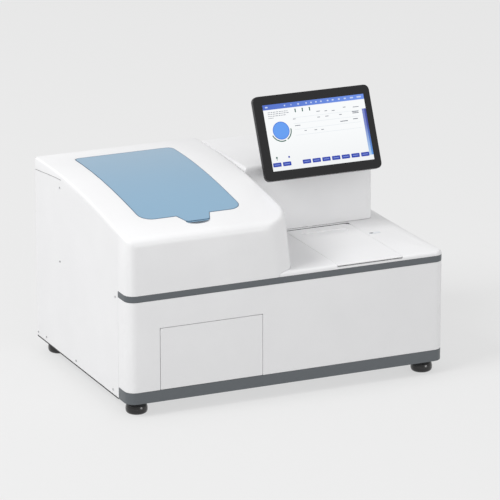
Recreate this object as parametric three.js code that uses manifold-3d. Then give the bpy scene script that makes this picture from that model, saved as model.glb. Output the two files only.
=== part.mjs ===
// Chemiluminescence immunoassay analyzer for the laboratory bench: a sheet-metal cabinet with a moulded
// front, a wave-shaped hood with a hinged lid over the analysis bay, a loading deck with a hatch, a rear
// housing and a tilting touch screen. Millimetres, +Z up, X to the right, the front faces -Y.
// The origin lies on the bench under the middle of the cabinet.
import * as THREE from 'three';
import { mergeVertices } from 'three/addons/utils/BufferGeometryUtils.js';
import Module from 'manifold-3d';

const wasm = await Module();
wasm.setup();

// Driving dimensions of the casing
const width = 690;
const depth = 486;
const footHeight = 28;
const cabinetHeight = 222.5;
const lowerBandHeight = 23.5;
const upperBandHeight = 13;
const cornerRadius = 20;
const wrapDepth = 50;
const hoodShare = 8 / 15;
const hoodWidth = width * hoodShare;
const hoodFrontRise = 113;
const hoodCrestRise = 159;
const hoodCrestFromRear = 73;
const hoodCrestDepth = depth - hoodCrestFromRear;
const deckRise = 9.5;
const housingDepth = 224;
const housingInset = 35;
const housingBelowCrest = 8;
const rearRecess = 12;

// Driving dimensions of what opens and moves
const lidSideLand = 66;
const lidDeckLand = 87;
const lidWidth = hoodWidth - lidSideLand - lidDeckLand;
const lidFrontLand = 80;
const lidRearLand = 48;
const drawerWidth = 219;
const drawerHeight = 126;
const drawerFromSide = 69;
const drawerLength = 280;
const hatchWidthShare = 0.4441;
const hatchPlaceShare = 0.26087;
const hatchWidth = (width - hoodWidth) * hatchWidthShare;
const hatchFromHood = (width - hoodWidth) * hatchPlaceShare;
const hatchRearGap = 4.5;
const screenWidth = 260;
const screenHeight = 174;
const screenThickness = 26;
const screenTilt = THREE.MathUtils.degToRad(24);
const screenCentreX = 519;
const screenCentreRise = 213;
const screenAhead = 22;
const packCount = 6;

// Walls, clearances and the fineness of round forms
const gap = 0.3;
const seam = 0.8;
const overrun = 5;
const panelWall = 3;
const bandWall = 6;
const hoodWall = 3.5;
const deckWall = 2.5;
const housingWall = 3;
const sheet = 1.5;
const cornerSteps = 4;
const weld = 0.0001;

// Levels and places that several pieces share, in the cabinet's frame: X from the left side,
// Y from the front face, Z from the underside
const deckTop = cabinetHeight + deckRise;
const crestTop = cabinetHeight + hoodCrestRise;
const housingTop = crestTop - housingBelowCrest;
const rearFace = depth - rearRecess;
const housingFront = depth - housingDepth;
const housingRight = width - housingInset;

const finishes = {
  casing: { color: 0xf2f3f4, roughness: 0.42, metalness: 0 },
  panel: { color: 0xe9ebed, roughness: 0.5, metalness: 0.1 },
  band: { color: 0x5f666b, roughness: 0.5, metalness: 0 },
  lid: { color: 0x97bdd6, roughness: 0.3, metalness: 0 },
  black: { color: 0x1a1b1d, roughness: 0.35, metalness: 0 },
  glass: { color: 0x0b0c0e, roughness: 0.08, metalness: 0 },
  zinc: { color: 0xb4b8bb, roughness: 0.4, metalness: 0.9 },
  steel: { color: 0xc9ccce, roughness: 0.25, metalness: 1 },
  liner: { color: 0xd9dcdf, roughness: 0.55, metalness: 0 },
  amber: { color: 0xe8e2d2, roughness: 0.4, metalness: 0 },
  board: { color: 0x1f6b3a, roughness: 0.5, metalness: 0 },
};

const analyzer = new THREE.Group();
const cabinet = new THREE.Group();
cabinet.position.set(-width / 2, -depth / 2, footHeight);
analyzer.add(cabinet);

// A closed geometry as a solid: welded, without flat slivers, its faces outwards
function solid(geometry) {
  const bare = new THREE.BufferGeometry();
  bare.setAttribute('position', geometry.getAttribute('position').clone());
  if (geometry.index) bare.setIndex(geometry.index.clone());
  const welded = mergeVertices(bare, weld);
  const place = welded.getAttribute('position');
  const [a, b, c] = [new THREE.Vector3(), new THREE.Vector3(), new THREE.Vector3()];
  const faces = [];
  let volume = 0;
  for (let i = 0; i < welded.index.count; i += 3) {
    const [p, q, r] = [0, 1, 2].map((k) => welded.index.getX(i + k));
    if (p === q || q === r || r === p) continue;
    faces.push([p, q, r]);
    a.fromBufferAttribute(place, p);
    b.fromBufferAttribute(place, q);
    c.fromBufferAttribute(place, r);
    volume += a.dot(b.cross(c));
  }
  const outward = volume > 0 ? faces : faces.map(([p, q, r]) => [p, r, q]);
  return new wasm.Manifold(new wasm.Mesh({
    numProp: 3,
    vertProperties: Float32Array.from(place.array),
    triVerts: Uint32Array.from(outward.flat()),
  }));
}

function add(group, name, body, finish) {
  const { vertProperties, triVerts } = body.getMesh();
  const geometry = new THREE.BufferGeometry();
  geometry.setAttribute('position', new THREE.BufferAttribute(vertProperties, 3));
  geometry.setIndex(new THREE.BufferAttribute(triVerts, 1));
  geometry.computeVertexNormals();
  const mesh = new THREE.Mesh(geometry, new THREE.MeshStandardMaterial(finishes[finish]));
  mesh.name = name;
  group.add(mesh);
  return mesh;
}

const join = (first, ...rest) => rest.reduce((whole, piece) => whole.add(piece), first);
const cut = (first, ...rest) => rest.reduce((whole, piece) => whole.subtract(piece), first);

// Outline points: arcs, rounded rectangles and circles
function arc(cx, cy, radius, from, to, steps = cornerSteps) {
  if (radius <= 0) return [new THREE.Vector2(cx, cy)];
  return Array.from({ length: steps + 1 }, (_, i) => {
    const angle = from + (to - from) * i / steps;
    return new THREE.Vector2(cx + radius * Math.cos(angle), cy + radius * Math.sin(angle));
  });
}

function rounded(x0, y0, x1, y1, r0, r1 = r0, r2 = r1, r3 = r0) {
  return [
    ...arc(x0 + r0, y0 + r0, r0, Math.PI, 1.5 * Math.PI),
    ...arc(x1 - r1, y0 + r1, r1, 1.5 * Math.PI, 2 * Math.PI),
    ...arc(x1 - r2, y1 - r2, r2, 0, Math.PI / 2),
    ...arc(x0 + r3, y1 - r3, r3, Math.PI / 2, Math.PI),
  ];
}

function circle(cx, cy, radius, sides = 24) {
  return arc(cx, cy, radius, 0, 2 * Math.PI, sides).slice(0, sides);
}

const points = (...pairs) => pairs.map(([x, y]) => new THREE.Vector2(x, y));

// Prisms: an outline carried along X, Y or Z between two places. Their outlines lie in YZ, XZ and XY.
function prism(outline, length) {
  return new THREE.ExtrudeGeometry(new THREE.Shape(outline), { depth: length, bevelEnabled: false });
}

function alongX(outline, from, to) {
  const basis = new THREE.Matrix4().makeBasis(
    new THREE.Vector3(0, 1, 0), new THREE.Vector3(0, 0, 1), new THREE.Vector3(1, 0, 0));
  return solid(prism(outline, to - from).applyMatrix4(basis).translate(from, 0, 0));
}

function alongY(outline, from, to) {
  return solid(prism(outline, to - from).rotateX(Math.PI / 2).translate(0, to, 0));
}

function alongZ(outline, from, to) {
  return solid(prism(outline, to - from).translate(0, 0, from));
}

function block(x0, y0, z0, x1, y1, z1) {
  const box = new THREE.BoxGeometry(x1 - x0, y1 - y0, z1 - z0);
  return solid(box.translate((x0 + x1) / 2, (y0 + y1) / 2, (z0 + z1) / 2));
}

// A turned form about a vertical axis, from pairs of radius and height that close on themselves
function turned(profile, cx = 0, cy = 0, sides = 32) {
  const lathe = new THREE.LatheGeometry(points(...profile, profile[0]), sides);
  return solid(lathe.rotateX(Math.PI / 2).translate(cx, cy, 0));
}

function ellipsoid(cx, cy, cz, rx, ry, rz) {
  return solid(new THREE.SphereGeometry(1, 20, 8).scale(rx, ry, rz).translate(cx, cy, cz));
}

// A skin drawn over sections of equal point count, with flat ends
function loft(sections, flat) {
  const count = sections[0].length;
  const corners = sections.flat();
  const faces = [];
  for (let s = 0; s + 1 < sections.length; s += 1) {
    for (let i = 0; i < count; i += 1) {
      const [a, b] = [s * count + i, s * count + (i + 1) % count];
      faces.push(a, b, b + count, a, b + count, a + count);
    }
  }
  const last = (sections.length - 1) * count;
  const cap = THREE.ShapeUtils.triangulateShape(sections[0].map(flat), []);
  const end = THREE.ShapeUtils.triangulateShape(sections[sections.length - 1].map(flat), []);
  const ahead = THREE.ShapeUtils.area(sections[0].map(flat)) > 0;
  for (const [a, b, c] of cap) faces.push(...(ahead ? [a, c, b] : [a, b, c]));
  for (const [a, b, c] of end) faces.push(...(ahead ? [a, b, c] : [a, c, b]).map((i) => i + last));
  const geometry = new THREE.BufferGeometry();
  geometry.setAttribute('position', new THREE.Float32BufferAttribute(corners.flatMap((v) => v.toArray()), 3));
  geometry.setIndex(faces);
  return solid(geometry);
}

// Plan of the moulded front, which wraps round both front corners
function wrapPlan(inset, back) {
  const r = cornerRadius;
  return [
    new THREE.Vector2(inset, back),
    ...arc(r, r, r - inset, Math.PI, 1.5 * Math.PI),
    ...arc(width - r, r, r - inset, 1.5 * Math.PI, 2 * Math.PI),
    new THREE.Vector2(width - inset, back),
  ];
}

function wrapWall(wall, from, to) {
  return cut(
    alongZ(wrapPlan(0, wrapDepth), from, to),
    alongZ(wrapPlan(wall, wrapDepth + overrun), from - overrun, to + overrun));
}

// Height of the hood's top along its depth: a quarter sine wave from the front crease to the crest
function hoodTopAt(y) {
  const share = Math.min(1, Math.max(0, y) / hoodCrestDepth);
  return cabinetHeight + hoodFrontRise + (hoodCrestRise - hoodFrontRise) * Math.sin(share * Math.PI / 2);
}

// A slab that follows the hood's top between two depths under it, carried across the hood
const waveSteps = 12;
const hoodRuns = 8;
function wave(above, below, from, to, front = 0, back = depth) {
  const stations = Array.from({ length: waveSteps + 1 }, (_, i) => front + (back - front) * i / waveSteps);
  const outline = [
    ...stations.map((y) => new THREE.Vector2(y, hoodTopAt(y) - above)),
    ...stations.reverse().map((y) => new THREE.Vector2(y, hoodTopAt(y) - below)),
  ];
  return alongX(outline, from, to);
}

// The side panel's top edge lies under the hood's edge and drops away towards the back
const skirtFront = 8;
const skirtBack = 26;
const skirtTurn = 165;
function sidePanelTopAt(y) {
  const share = Math.min(1, Math.max(0, (y - (depth - skirtTurn)) / skirtTurn));
  return hoodTopAt(y) - skirtFront - (skirtBack - skirtFront) * share;
}

// Feet: a glossy levelling foot with a broad pad, a neck and a stud through the base
const footPlaces = [];
const footRadius = 21;
const footInsetX = 32;
const footInsetY = 36;
const studRadius = 5;
const studLength = 16;
for (const [x, side] of [[footInsetX, 'left'], [width - footInsetX, 'right']]) {
  for (const [y, end] of [[footInsetY, 'front'], [depth - footInsetY, 'rear']]) {
    footPlaces.push({ x, y, name: `foot_${end}_${side}` });
  }
}

function makeFoot() {
  const padEdge = 5;
  const padDome = 12;
  const domeRadius = 12;
  const neckRadius = 7.5;
  const collarRadius = 11;
  const collarHeight = 7;
  const soleBevel = 1.5;
  const topFace = -gap;
  return turned([
    [0, -footHeight], [footRadius - soleBevel, -footHeight], [footRadius, soleBevel - footHeight],
    [footRadius, padEdge - footHeight], [domeRadius, padDome - footHeight],
    [neckRadius, padDome + soleBevel - footHeight], [neckRadius, topFace - collarHeight],
    [collarRadius, topFace - collarHeight], [collarRadius, topFace],
    [studRadius, topFace], [studRadius, studLength], [0, studLength],
  ], 0, 0, 12);
}

for (const { x, y, name } of footPlaces) {
  const foot = add(cabinet, name, makeFoot(), 'black');
  foot.position.set(x, y, 0);
}

// Base tray: folded sheet with an upturned edge, air slots and a weld nut over each foot
const baseEdge = 15;
const runOn = gap + sheet;
function basePlan(inset) {
  const side = runOn + inset;
  const front = bandWall + gap + inset;
  const r = cornerRadius;
  return [
    new THREE.Vector2(side, rearFace - gap - inset),
    new THREE.Vector2(side, wrapDepth + gap + inset),
    new THREE.Vector2(front, wrapDepth + gap + inset),
    ...arc(r, r, r - front, Math.PI, 1.5 * Math.PI),
    ...arc(width - r, r, r - front, 1.5 * Math.PI, 2 * Math.PI),
    new THREE.Vector2(width - front, wrapDepth + gap + inset),
    new THREE.Vector2(width - side, wrapDepth + gap + inset),
    new THREE.Vector2(width - side, rearFace - gap - inset),
  ];
}

function makeBaseTray() {
  const nutRadius = 11;
  const nutHeight = 9;
  const studClearance = 0.6;
  const slotLength = 60;
  const slotWidth = 6;
  const slotPitch = 16;
  const slotCount = 5;
  const slotStart = width - footInsetX - slotPitch * (slotCount + 2);
  let tray = cut(
    alongZ(basePlan(0), 0, baseEdge),
    alongZ(basePlan(sheet), sheet, baseEdge + overrun));
  for (const { x, y } of footPlaces) {
    tray = join(tray, alongZ(circle(x, y, nutRadius, 6), sheet / 2, nutHeight));
  }
  for (const { x, y } of footPlaces) {
    tray = cut(tray, alongZ(circle(x, y, studRadius + studClearance, 12), -overrun, nutHeight + overrun));
  }
  for (let i = 0; i < slotCount; i += 1) {
    const x = slotStart + slotPitch * i;
    for (const y of [depth / 3, depth / 3 + slotLength + slotPitch]) {
      const slot = rounded(x, y, x + slotWidth, y + slotLength, 0);
      tray = cut(tray, alongZ(slot, -overrun, sheet + overrun));
    }
  }
  return tray;
}
add(cabinet, 'base_tray', makeBaseTray(), 'zinc');

// Moulded front: two grey bands and the white front between them, with the drawer's window
const drawerLeft = drawerFromSide;
const drawerRight = drawerFromSide + drawerWidth;
const drawerBottom = lowerBandHeight + seam;
const drawerTop = drawerBottom + drawerHeight;
const panelBottom = lowerBandHeight + gap;
const panelTop = cabinetHeight - upperBandHeight - gap;
const frontRib = 9;

function makeFrontPanel() {
  const window = block(drawerLeft - seam, -overrun, panelBottom - overrun,
    drawerRight + seam, panelWall + overrun, drawerTop + seam);
  const ribHeight = 2;
  let shell = cut(wrapWall(panelWall, panelBottom, panelTop), window);
  for (const z of [drawerTop + frontRib, panelTop - frontRib]) {
    const rib = cut(
      alongZ(wrapPlan(panelWall / 2, wrapDepth - panelWall), z, z + ribHeight),
      alongZ(wrapPlan(panelWall + frontRib, wrapDepth + overrun), z - overrun, z + ribHeight + overrun));
    shell = join(shell, rib);
  }
  return shell;
}
add(cabinet, 'lower_trim_band', wrapWall(bandWall, 0, lowerBandHeight), 'band');
add(cabinet, 'upper_trim_band', wrapWall(bandWall, cabinetHeight - upperBandHeight, cabinetHeight), 'band');
add(cabinet, 'front_panel', makeFrontPanel(), 'casing');

// Side panels: flat sheet with a return along the back edge
const panelFoot = 1;
const returnWidth = 14;
const returnTrim = 10;
function sidePlate(top, from, to) {
  return alongX([
    new THREE.Vector2(wrapDepth + gap, panelFoot),
    new THREE.Vector2(depth, panelFoot),
    ...top,
  ], from, to);
}

function makeLeftPanel() {
  const start = wrapDepth + gap;
  const top = Array.from({ length: waveSteps + 1 }, (_, i) => {
    const y = depth + (start - depth) * i / waveSteps;
    return new THREE.Vector2(y, sidePanelTopAt(y));
  });
  const back = block(sheet / 2, depth - sheet, panelFoot + returnTrim,
    returnWidth, depth, sidePanelTopAt(depth) - returnTrim);
  return join(sidePlate(top, 0, sheet), back);
}

function makeRightPanel() {
  const top = points([depth, cabinetHeight], [wrapDepth + gap, cabinetHeight]);
  const back = block(width - returnWidth, depth - sheet, panelFoot + returnTrim,
    width - sheet / 2, depth, cabinetHeight - returnTrim);
  return join(sidePlate(top, width - sheet, width), back);
}
add(cabinet, 'left_side_panel', makeLeftPanel(), 'panel');
add(cabinet, 'right_side_panel', makeRightPanel(), 'panel');

// Hood: lofted over cross-sections along its depth. Its left corner follows the front, its right corner
// opens out from foot to top, and its right wall leans in a little.
const hoodFoot = cabinetHeight + gap;
const hoodLean = 5;
const hoodCornerFoot = 50;
const hoodCornerTop = 90;
const creaseRadius = 14;
const leftShoulder = 7;
const rightShoulder = 13;
const wallLevels = 3;

function hoodStations(inset) {
  const turns = [cornerRadius, hoodCornerTop]
    .flatMap((r) => arc(0, 0, r, 0, Math.PI / 2, 6).map((v) => r - v.x));
  const runs = Array.from({ length: hoodRuns }, (_, i) => {
    return hoodCornerTop + (depth - hoodCornerTop) * (i + 1) / hoodRuns;
  });
  const all = [...new Set([...turns, ...runs])].sort((a, b) => a - b);
  const kept = all.filter((y, i) => i === 0 || y - all[i - 1] > weld * depth);
  return kept.map((y) => (y < depth ? y * (1 - inset / depth) + inset : depth));
}

function roundIn(y, radius, inset) {
  if (y >= radius) return inset;
  return radius - Math.sqrt(Math.max(0, (radius - inset) ** 2 - (radius - y) ** 2));
}

function hoodSection(y, inset, foot) {
  const crown = hoodTopAt(y) - roundIn(y, creaseRadius, inset);
  const rightAt = (z) => {
    const share = Math.max(0, z - cabinetHeight) / hoodCrestRise;
    const corner = hoodCornerFoot + (hoodCornerTop - hoodCornerFoot) * share;
    return hoodWidth - hoodLean * share - roundIn(y, corner, inset);
  };
  const left = roundIn(y, cornerRadius, inset);
  const rs = rightShoulder - inset;
  const ls = leftShoulder - inset;
  const wallTop = crown - rs;
  const right = Array.from({ length: wallLevels + 1 }, (_, i) => {
    const z = foot + (wallTop - foot) * i / wallLevels;
    return new THREE.Vector2(rightAt(z), z);
  });
  const outline = [
    new THREE.Vector2(left, foot),
    ...right.slice(0, wallLevels),
    ...arc(rightAt(wallTop) - rs, wallTop, rs, 0, Math.PI / 2),
    ...arc(left + ls, crown - ls, ls, Math.PI / 2, Math.PI, 3),
  ];
  return outline.map((v) => new THREE.Vector3(v.x, y, v.y));
}

const inXZ = (v) => new THREE.Vector2(v.x, v.z);
function hoodForm(inset, foot, runOut) {
  const sections = hoodStations(inset).map((y) => hoodSection(y, inset, foot));
  if (runOut > 0) sections.push(hoodSection(depth, inset, foot).map((v) => v.clone().setY(depth + runOut)));
  return loft(sections, inXZ);
}

// Lid outline in plan: round front corners, a tapered tab at the middle of the front edge
const lidLeft = lidSideLand;
const lidRight = lidSideLand + lidWidth;
const lidBack = depth - lidRearLand;
const lidMiddle = (lidLeft + lidRight) / 2;
const lidFrontCorner = 26;
const lidBackCorner = 12;
const tabLength = 27;
const tabRoot = 70;
const tabTip = 54;
const tabCorner = 8;
const lidSkin = 3;
const lidLedge = 14;
const lidSwing = 2.8;
const ledgeWall = 3.2;

function lidPlan(grow) {
  const [x0, x1] = [lidLeft - grow, lidRight + grow];
  const [y0, y1] = [lidFrontLand - grow, lidBack + grow];
  const [front, back] = [lidFrontCorner + grow, lidBackCorner + grow];
  const [root, tip] = [tabRoot / 2 + grow, tabTip / 2 + grow];
  const end = y0 - tabLength;
  const r = tabCorner + grow;
  return [
    ...arc(x0 + front, y0 + front, front, Math.PI, 1.5 * Math.PI, 6),
    new THREE.Vector2(lidMiddle - root, y0),
    ...arc(lidMiddle - tip + r, end + r, r, 1.15 * Math.PI, 1.5 * Math.PI, 3),
    ...arc(lidMiddle + tip - r, end + r, r, 1.5 * Math.PI, 1.85 * Math.PI, 3),
    new THREE.Vector2(lidMiddle + root, y0),
    ...arc(x1 - front, y0 + front, front, 1.5 * Math.PI, 2 * Math.PI, 6),
    ...arc(x1 - back, y1 - back, back, 0, Math.PI / 2, 3),
    ...arc(x0 + back, y1 - back, back, Math.PI / 2, Math.PI, 3),
  ];
}

const bay = {
  left: lidLeft + lidLedge,
  right: lidRight - lidLedge,
  front: lidFrontLand + lidLedge,
  back: lidBack - lidLedge,
};
function bayPlan(grow) {
  const r = Math.max(seam, lidFrontCorner - lidLedge + grow);
  return rounded(bay.left - grow, bay.front - grow, bay.right + grow, bay.back + grow, r);
}

// Lid hinge: goosenecks turn about an axis behind and below the lid's back edge
const hingeBehind = 20;
const hingeBelow = 15;
const hingeY = lidBack + hingeBehind;
const hingeZ = hoodTopAt(lidBack) - hingeBelow;
const armWidth = 14;
const armInner = 27.5;
const armOuter = 34;
const armFromEdge = 34;
const armCentres = [lidLeft + armFromEdge, lidRight - armFromEdge];
const armSide = 2;

function makeHood() {
  const seatDepth = lidSkin + gap;
  const through = hoodFrontRise;
  const scoopWidth = 27;
  const scoopLength = 15;
  const scoopDepth = 8;
  const scoopY = lidFrontLand - tabLength - seam;
  const slotReach = 4;
  let hood = cut(hoodForm(0, hoodFoot, 0), hoodForm(hoodWall, hoodFoot - overrun, overrun));
  // Ledge that the lid rests on, and the finger scoop's bowl
  const ledge = cut(
    alongZ(lidPlan(seam + ledgeWall), cabinetHeight, crestTop),
    alongZ(bayPlan(0), cabinetHeight - overrun, crestTop + overrun))
    .intersect(wave(seatDepth - weld, seatDepth + ledgeWall, 0, hoodWidth));
  const bowl = ellipsoid(lidMiddle, scoopY, hoodTopAt(scoopY),
    scoopWidth + ledgeWall, scoopLength + ledgeWall, scoopDepth + ledgeWall)
    .intersect(wave(hoodWall / 2, scoopDepth + 2 * ledgeWall, 0, hoodWidth));
  hood = join(hood, ledge, bowl);
  const recess = alongZ(lidPlan(seam), cabinetHeight, crestTop + overrun);
  const seat = join(recess, recess.translate(0, lidSwing - seam, 0))
    .intersect(wave(-overrun, seatDepth, 0, hoodWidth));
  const scoop = ellipsoid(lidMiddle, scoopY, hoodTopAt(scoopY), scoopWidth, scoopLength, scoopDepth);
  const hole = alongZ(bayPlan(0), crestTop - through, crestTop + overrun);
  hood = cut(hood, seat, scoop, hole);
  for (const x of armCentres) {
    hood = cut(hood, block(x - armWidth / 2 - armSide, bay.back - slotReach, hingeZ - armOuter,
      x + armWidth / 2 + armSide, lidBack + seam, crestTop + overrun));
  }
  // The left side panel rises inside the hood's skirt, and the inner wall stops short of the rear panel
  const stations = Array.from({ length: waveSteps + 1 }, (_, i) => {
    const y = depth + overrun + (wrapDepth - depth - overrun) * i / waveSteps;
    return new THREE.Vector2(y, sidePanelTopAt(Math.min(y, depth)) + gap);
  });
  const side = alongX([
    new THREE.Vector2(wrapDepth, hoodFoot - overrun),
    new THREE.Vector2(depth + overrun, hoodFoot - overrun),
    ...stations,
  ], -overrun, hoodWall + overrun);
  const rear = block(hoodWidth - rightShoulder - 2 * hoodLean, rearFace - gap, hoodFoot - overrun,
    hoodWidth + overrun, depth + overrun, crestTop - rightShoulder);
  return cut(hood, side, rear);
}
add(cabinet, 'hood_shell', makeHood(), 'casing');

// Lid: a skin on the hood's wave with a stiffening rim that drops into the bay opening
const lid = new THREE.Group();
cabinet.add(lid);
function makeLid() {
  const rimDrop = 10;
  const rimWall = 2.5;
  const rimGap = 2.5;
  const lift = 0.6;
  const skin = alongZ(lidPlan(0), cabinetHeight, crestTop + overrun)
    .intersect(wave(-lift, lidSkin, 0, hoodWidth));
  let rim = cut(
    alongZ(bayPlan(-rimGap), cabinetHeight, crestTop + overrun),
    alongZ(bayPlan(-rimGap - rimWall), cabinetHeight - overrun, crestTop + 2 * overrun))
    .intersect(wave(lidSkin / 2, lidSkin + rimDrop, 0, hoodWidth));
  for (const x of armCentres) {
    const space = armWidth / 2 + armSide;
    rim = cut(rim, block(x - space, bay.back - 2 * lidLedge, cabinetHeight,
      x + space, lidBack, crestTop - lidSkin));
  }
  return join(skin, rim);
}
add(lid, 'lid_panel', makeLid(), 'lid');

function makeLidArm(x) {
  const hub = 8;
  const bore = 3.4;
  const spoke = 3.5;
  const footReach = 26;
  const footWall = 3;
  const startAngle = THREE.MathUtils.degToRad(273.6);
  const endAngle = THREE.MathUtils.degToRad(162);
  const underside = hingeBelow - lidSkin - gap;
  const bend = [
    ...arc(0, 0, armOuter, startAngle, endAngle, 7),
    new THREE.Vector2(-armInner, underside),
    ...arc(0, 0, armInner, endAngle, startAngle, 7),
  ];
  const legEnd = spoke / 2 - armOuter;
  const leg = points([-spoke, 0], [-spoke, legEnd], [spoke, legEnd], [spoke, 0]);
  const foot = points([-armOuter - footReach, underside - footWall], [-armInner, underside - footWall],
    [-armInner, underside], [-armOuter - footReach, underside]);
  const [from, to] = [x - armWidth / 2, x + armWidth / 2];
  const body = join(alongX(bend, from, to), alongX(leg, from, to), alongX(foot, from, to),
    alongX(circle(0, 0, hub, 12), from, to));
  return cut(body, alongX(circle(0, 0, bore, 10), from - overrun, to + overrun))
    .translate(0, hingeY, hingeZ);
}

// Each bracket hangs under the hood's rear land and carries the hinge pin
function makeHingeBracket(x) {
  const hub = 8;
  const plateWall = 3;
  const pinRadius = 3;
  const flangeWidth = 16;
  const flangeReach = rearFace - gap - hingeY;
  const under = hingeBelow - hoodWall - gap;
  const [near, far] = [x + armWidth / 2 + gap, x + armWidth / 2 + gap + plateWall];
  const web = [
    ...arc(0, 0, hub, Math.PI, 2 * Math.PI, 8),
    new THREE.Vector2(flangeReach, under),
    new THREE.Vector2(-hub / 2, under),
  ];
  const flange = points([-hub / 2, under - plateWall], [flangeReach, under - plateWall],
    [flangeReach, under], [-hub / 2, under]);
  return join(alongX(web, near, far), alongX(flange, far - plateWall / 2, far + flangeWidth),
    alongX(circle(0, 0, pinRadius, 12), x - armWidth / 2 - pinRadius, near + plateWall / 2))
    .translate(0, hingeY, hingeZ);
}
armCentres.forEach((x, i) => {
  const side = ['left', 'right'][i];
  add(lid, `lid_arm_${side}`, makeLidArm(x), 'zinc');
  add(cabinet, `hinge_bracket_${side}`, makeHingeBracket(x), 'zinc');
});

// Rear housing: a moulded box behind the deck with rounded front corner and top edges
const housingLeft = hoodWidth + gap;
const housingCorner = 11;
const housingEdge = 9;
function housingPlan(inset) {
  const r = housingCorner;
  return [
    new THREE.Vector2(housingLeft + Math.min(inset, housingWall), depth),
    new THREE.Vector2(housingLeft + Math.min(inset, housingWall), housingFront + inset),
    ...arc(housingRight - r, housingFront + r, r - inset, 1.5 * Math.PI, 2 * Math.PI),
    new THREE.Vector2(housingRight - inset, depth),
  ];
}

function housingForm(inset, foot, top, runOut) {
  const levels = [[foot, inset], ...arc(0, 0, housingEdge - inset, 0, Math.PI / 2, 4).map((v) => [
    top - housingEdge + v.y, housingEdge - v.x])];
  const sections = levels.map(([z, into]) => housingPlan(into).map((v) => {
    return new THREE.Vector3(v.x, v.y >= depth ? depth + runOut : v.y, z);
  }));
  return loft(sections, (v) => new THREE.Vector2(v.x, v.y));
}

// The screen's cable runs down through the housing's top
const cableHole = 9;
const cableY = housingFront + housingDepth / 3;
function makeHousing() {
  const outer = housingForm(0, deckTop + gap, housingTop, 0);
  const inner = housingForm(housingWall, deckTop - overrun, housingTop, overrun);
  const slot = block(housingLeft - overrun, rearFace - gap, deckTop - overrun,
    housingLeft + housingWall + overrun, depth + overrun, crestTop - rightShoulder);
  const cable = alongZ(circle(screenCentreX, cableY, cableHole, 16),
    housingTop - housingEdge, housingTop + overrun);
  return cut(outer, inner, slot, cable);
}
add(cabinet, 'rear_housing', makeHousing(), 'casing');

// Deck: a moulded cover whose right shoulder grows rounder towards the back. It follows the hood's foot,
// runs past the rear housing as a strip and carries the hatch opening.
const deckFoot = cabinetHeight + gap;
const deckNose = 5;
const deckShoulderFront = 6;
const deckShoulderRear = 38;
const deckShoulderDrop = 8.5;
const hatchLeft = hoodWidth + hatchFromHood;
const hatchRight = hatchLeft + hatchWidth;
const hatchRearLand = 8;
const hatchBack = housingFront - hatchRearLand;
const hatchSkin = 3;
const hatchLedge = 7;
const fingerSlot = 2.5;
const fingerReach = 14;
const hatchPadBottom = deckTop - hatchSkin - fingerSlot - deckWall;
const hatchBarrel = 3.2;
const hatchAxisY = hatchBack - hatchRearGap - hatchBarrel;
const hatchAxisZ = deckTop - hatchSkin - hatchBarrel;
const hatchPin = 2;
const hatchPinReach = 5;
const hatchLug = 11;
const buttonFromHatch = 18.5;
const buttonFromFront = 166;
const buttonX = hatchRight + buttonFromHatch;
const buttonY = buttonFromFront;
const buttonLength = 26;
const buttonWidth = 9;
const buttonCollar = 6;

function pill(cx, cy, length, across) {
  return rounded(cx - length / 2, cy - across / 2, cx + length / 2, cy + across / 2, across / 2 - weld);
}

function deckForm(inset, foot, runOut) {
  const nose = arc(0, 0, cornerRadius, 0, Math.PI / 2, 6).map((v) => cornerRadius - v.x);
  const runs = [deckNose / 2, deckNose, housingFront / 2, housingFront, depth];
  const stations = [...new Set([...nose, ...runs])].sort((a, b) => a - b)
    .map((y) => (y < depth ? y * (1 - inset / depth) + inset : depth + runOut));
  return loft(stations.map((y) => {
    const right = width - roundIn(y, cornerRadius, inset);
    const top = deckTop - roundIn(y, deckNose, inset);
    const share = Math.min(1, y / housingFront);
    const across = deckShoulderFront + (deckShoulderRear - deckShoulderFront) * share - inset;
    const drop = Math.min(deckShoulderDrop, top - deckFoot + inset - seam) - inset;
    return [
      new THREE.Vector3(hoodWidth - hoodCornerTop, y, foot),
      new THREE.Vector3(right, y, foot),
      ...arc(0, 0, 1, 0, Math.PI / 2, 5).map((v) => {
        return new THREE.Vector3(right - across + across * v.x, y, top - drop + drop * v.y);
      }),
      new THREE.Vector3(hoodWidth - hoodCornerTop, y, top),
    ];
  }), inXZ);
}

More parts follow.
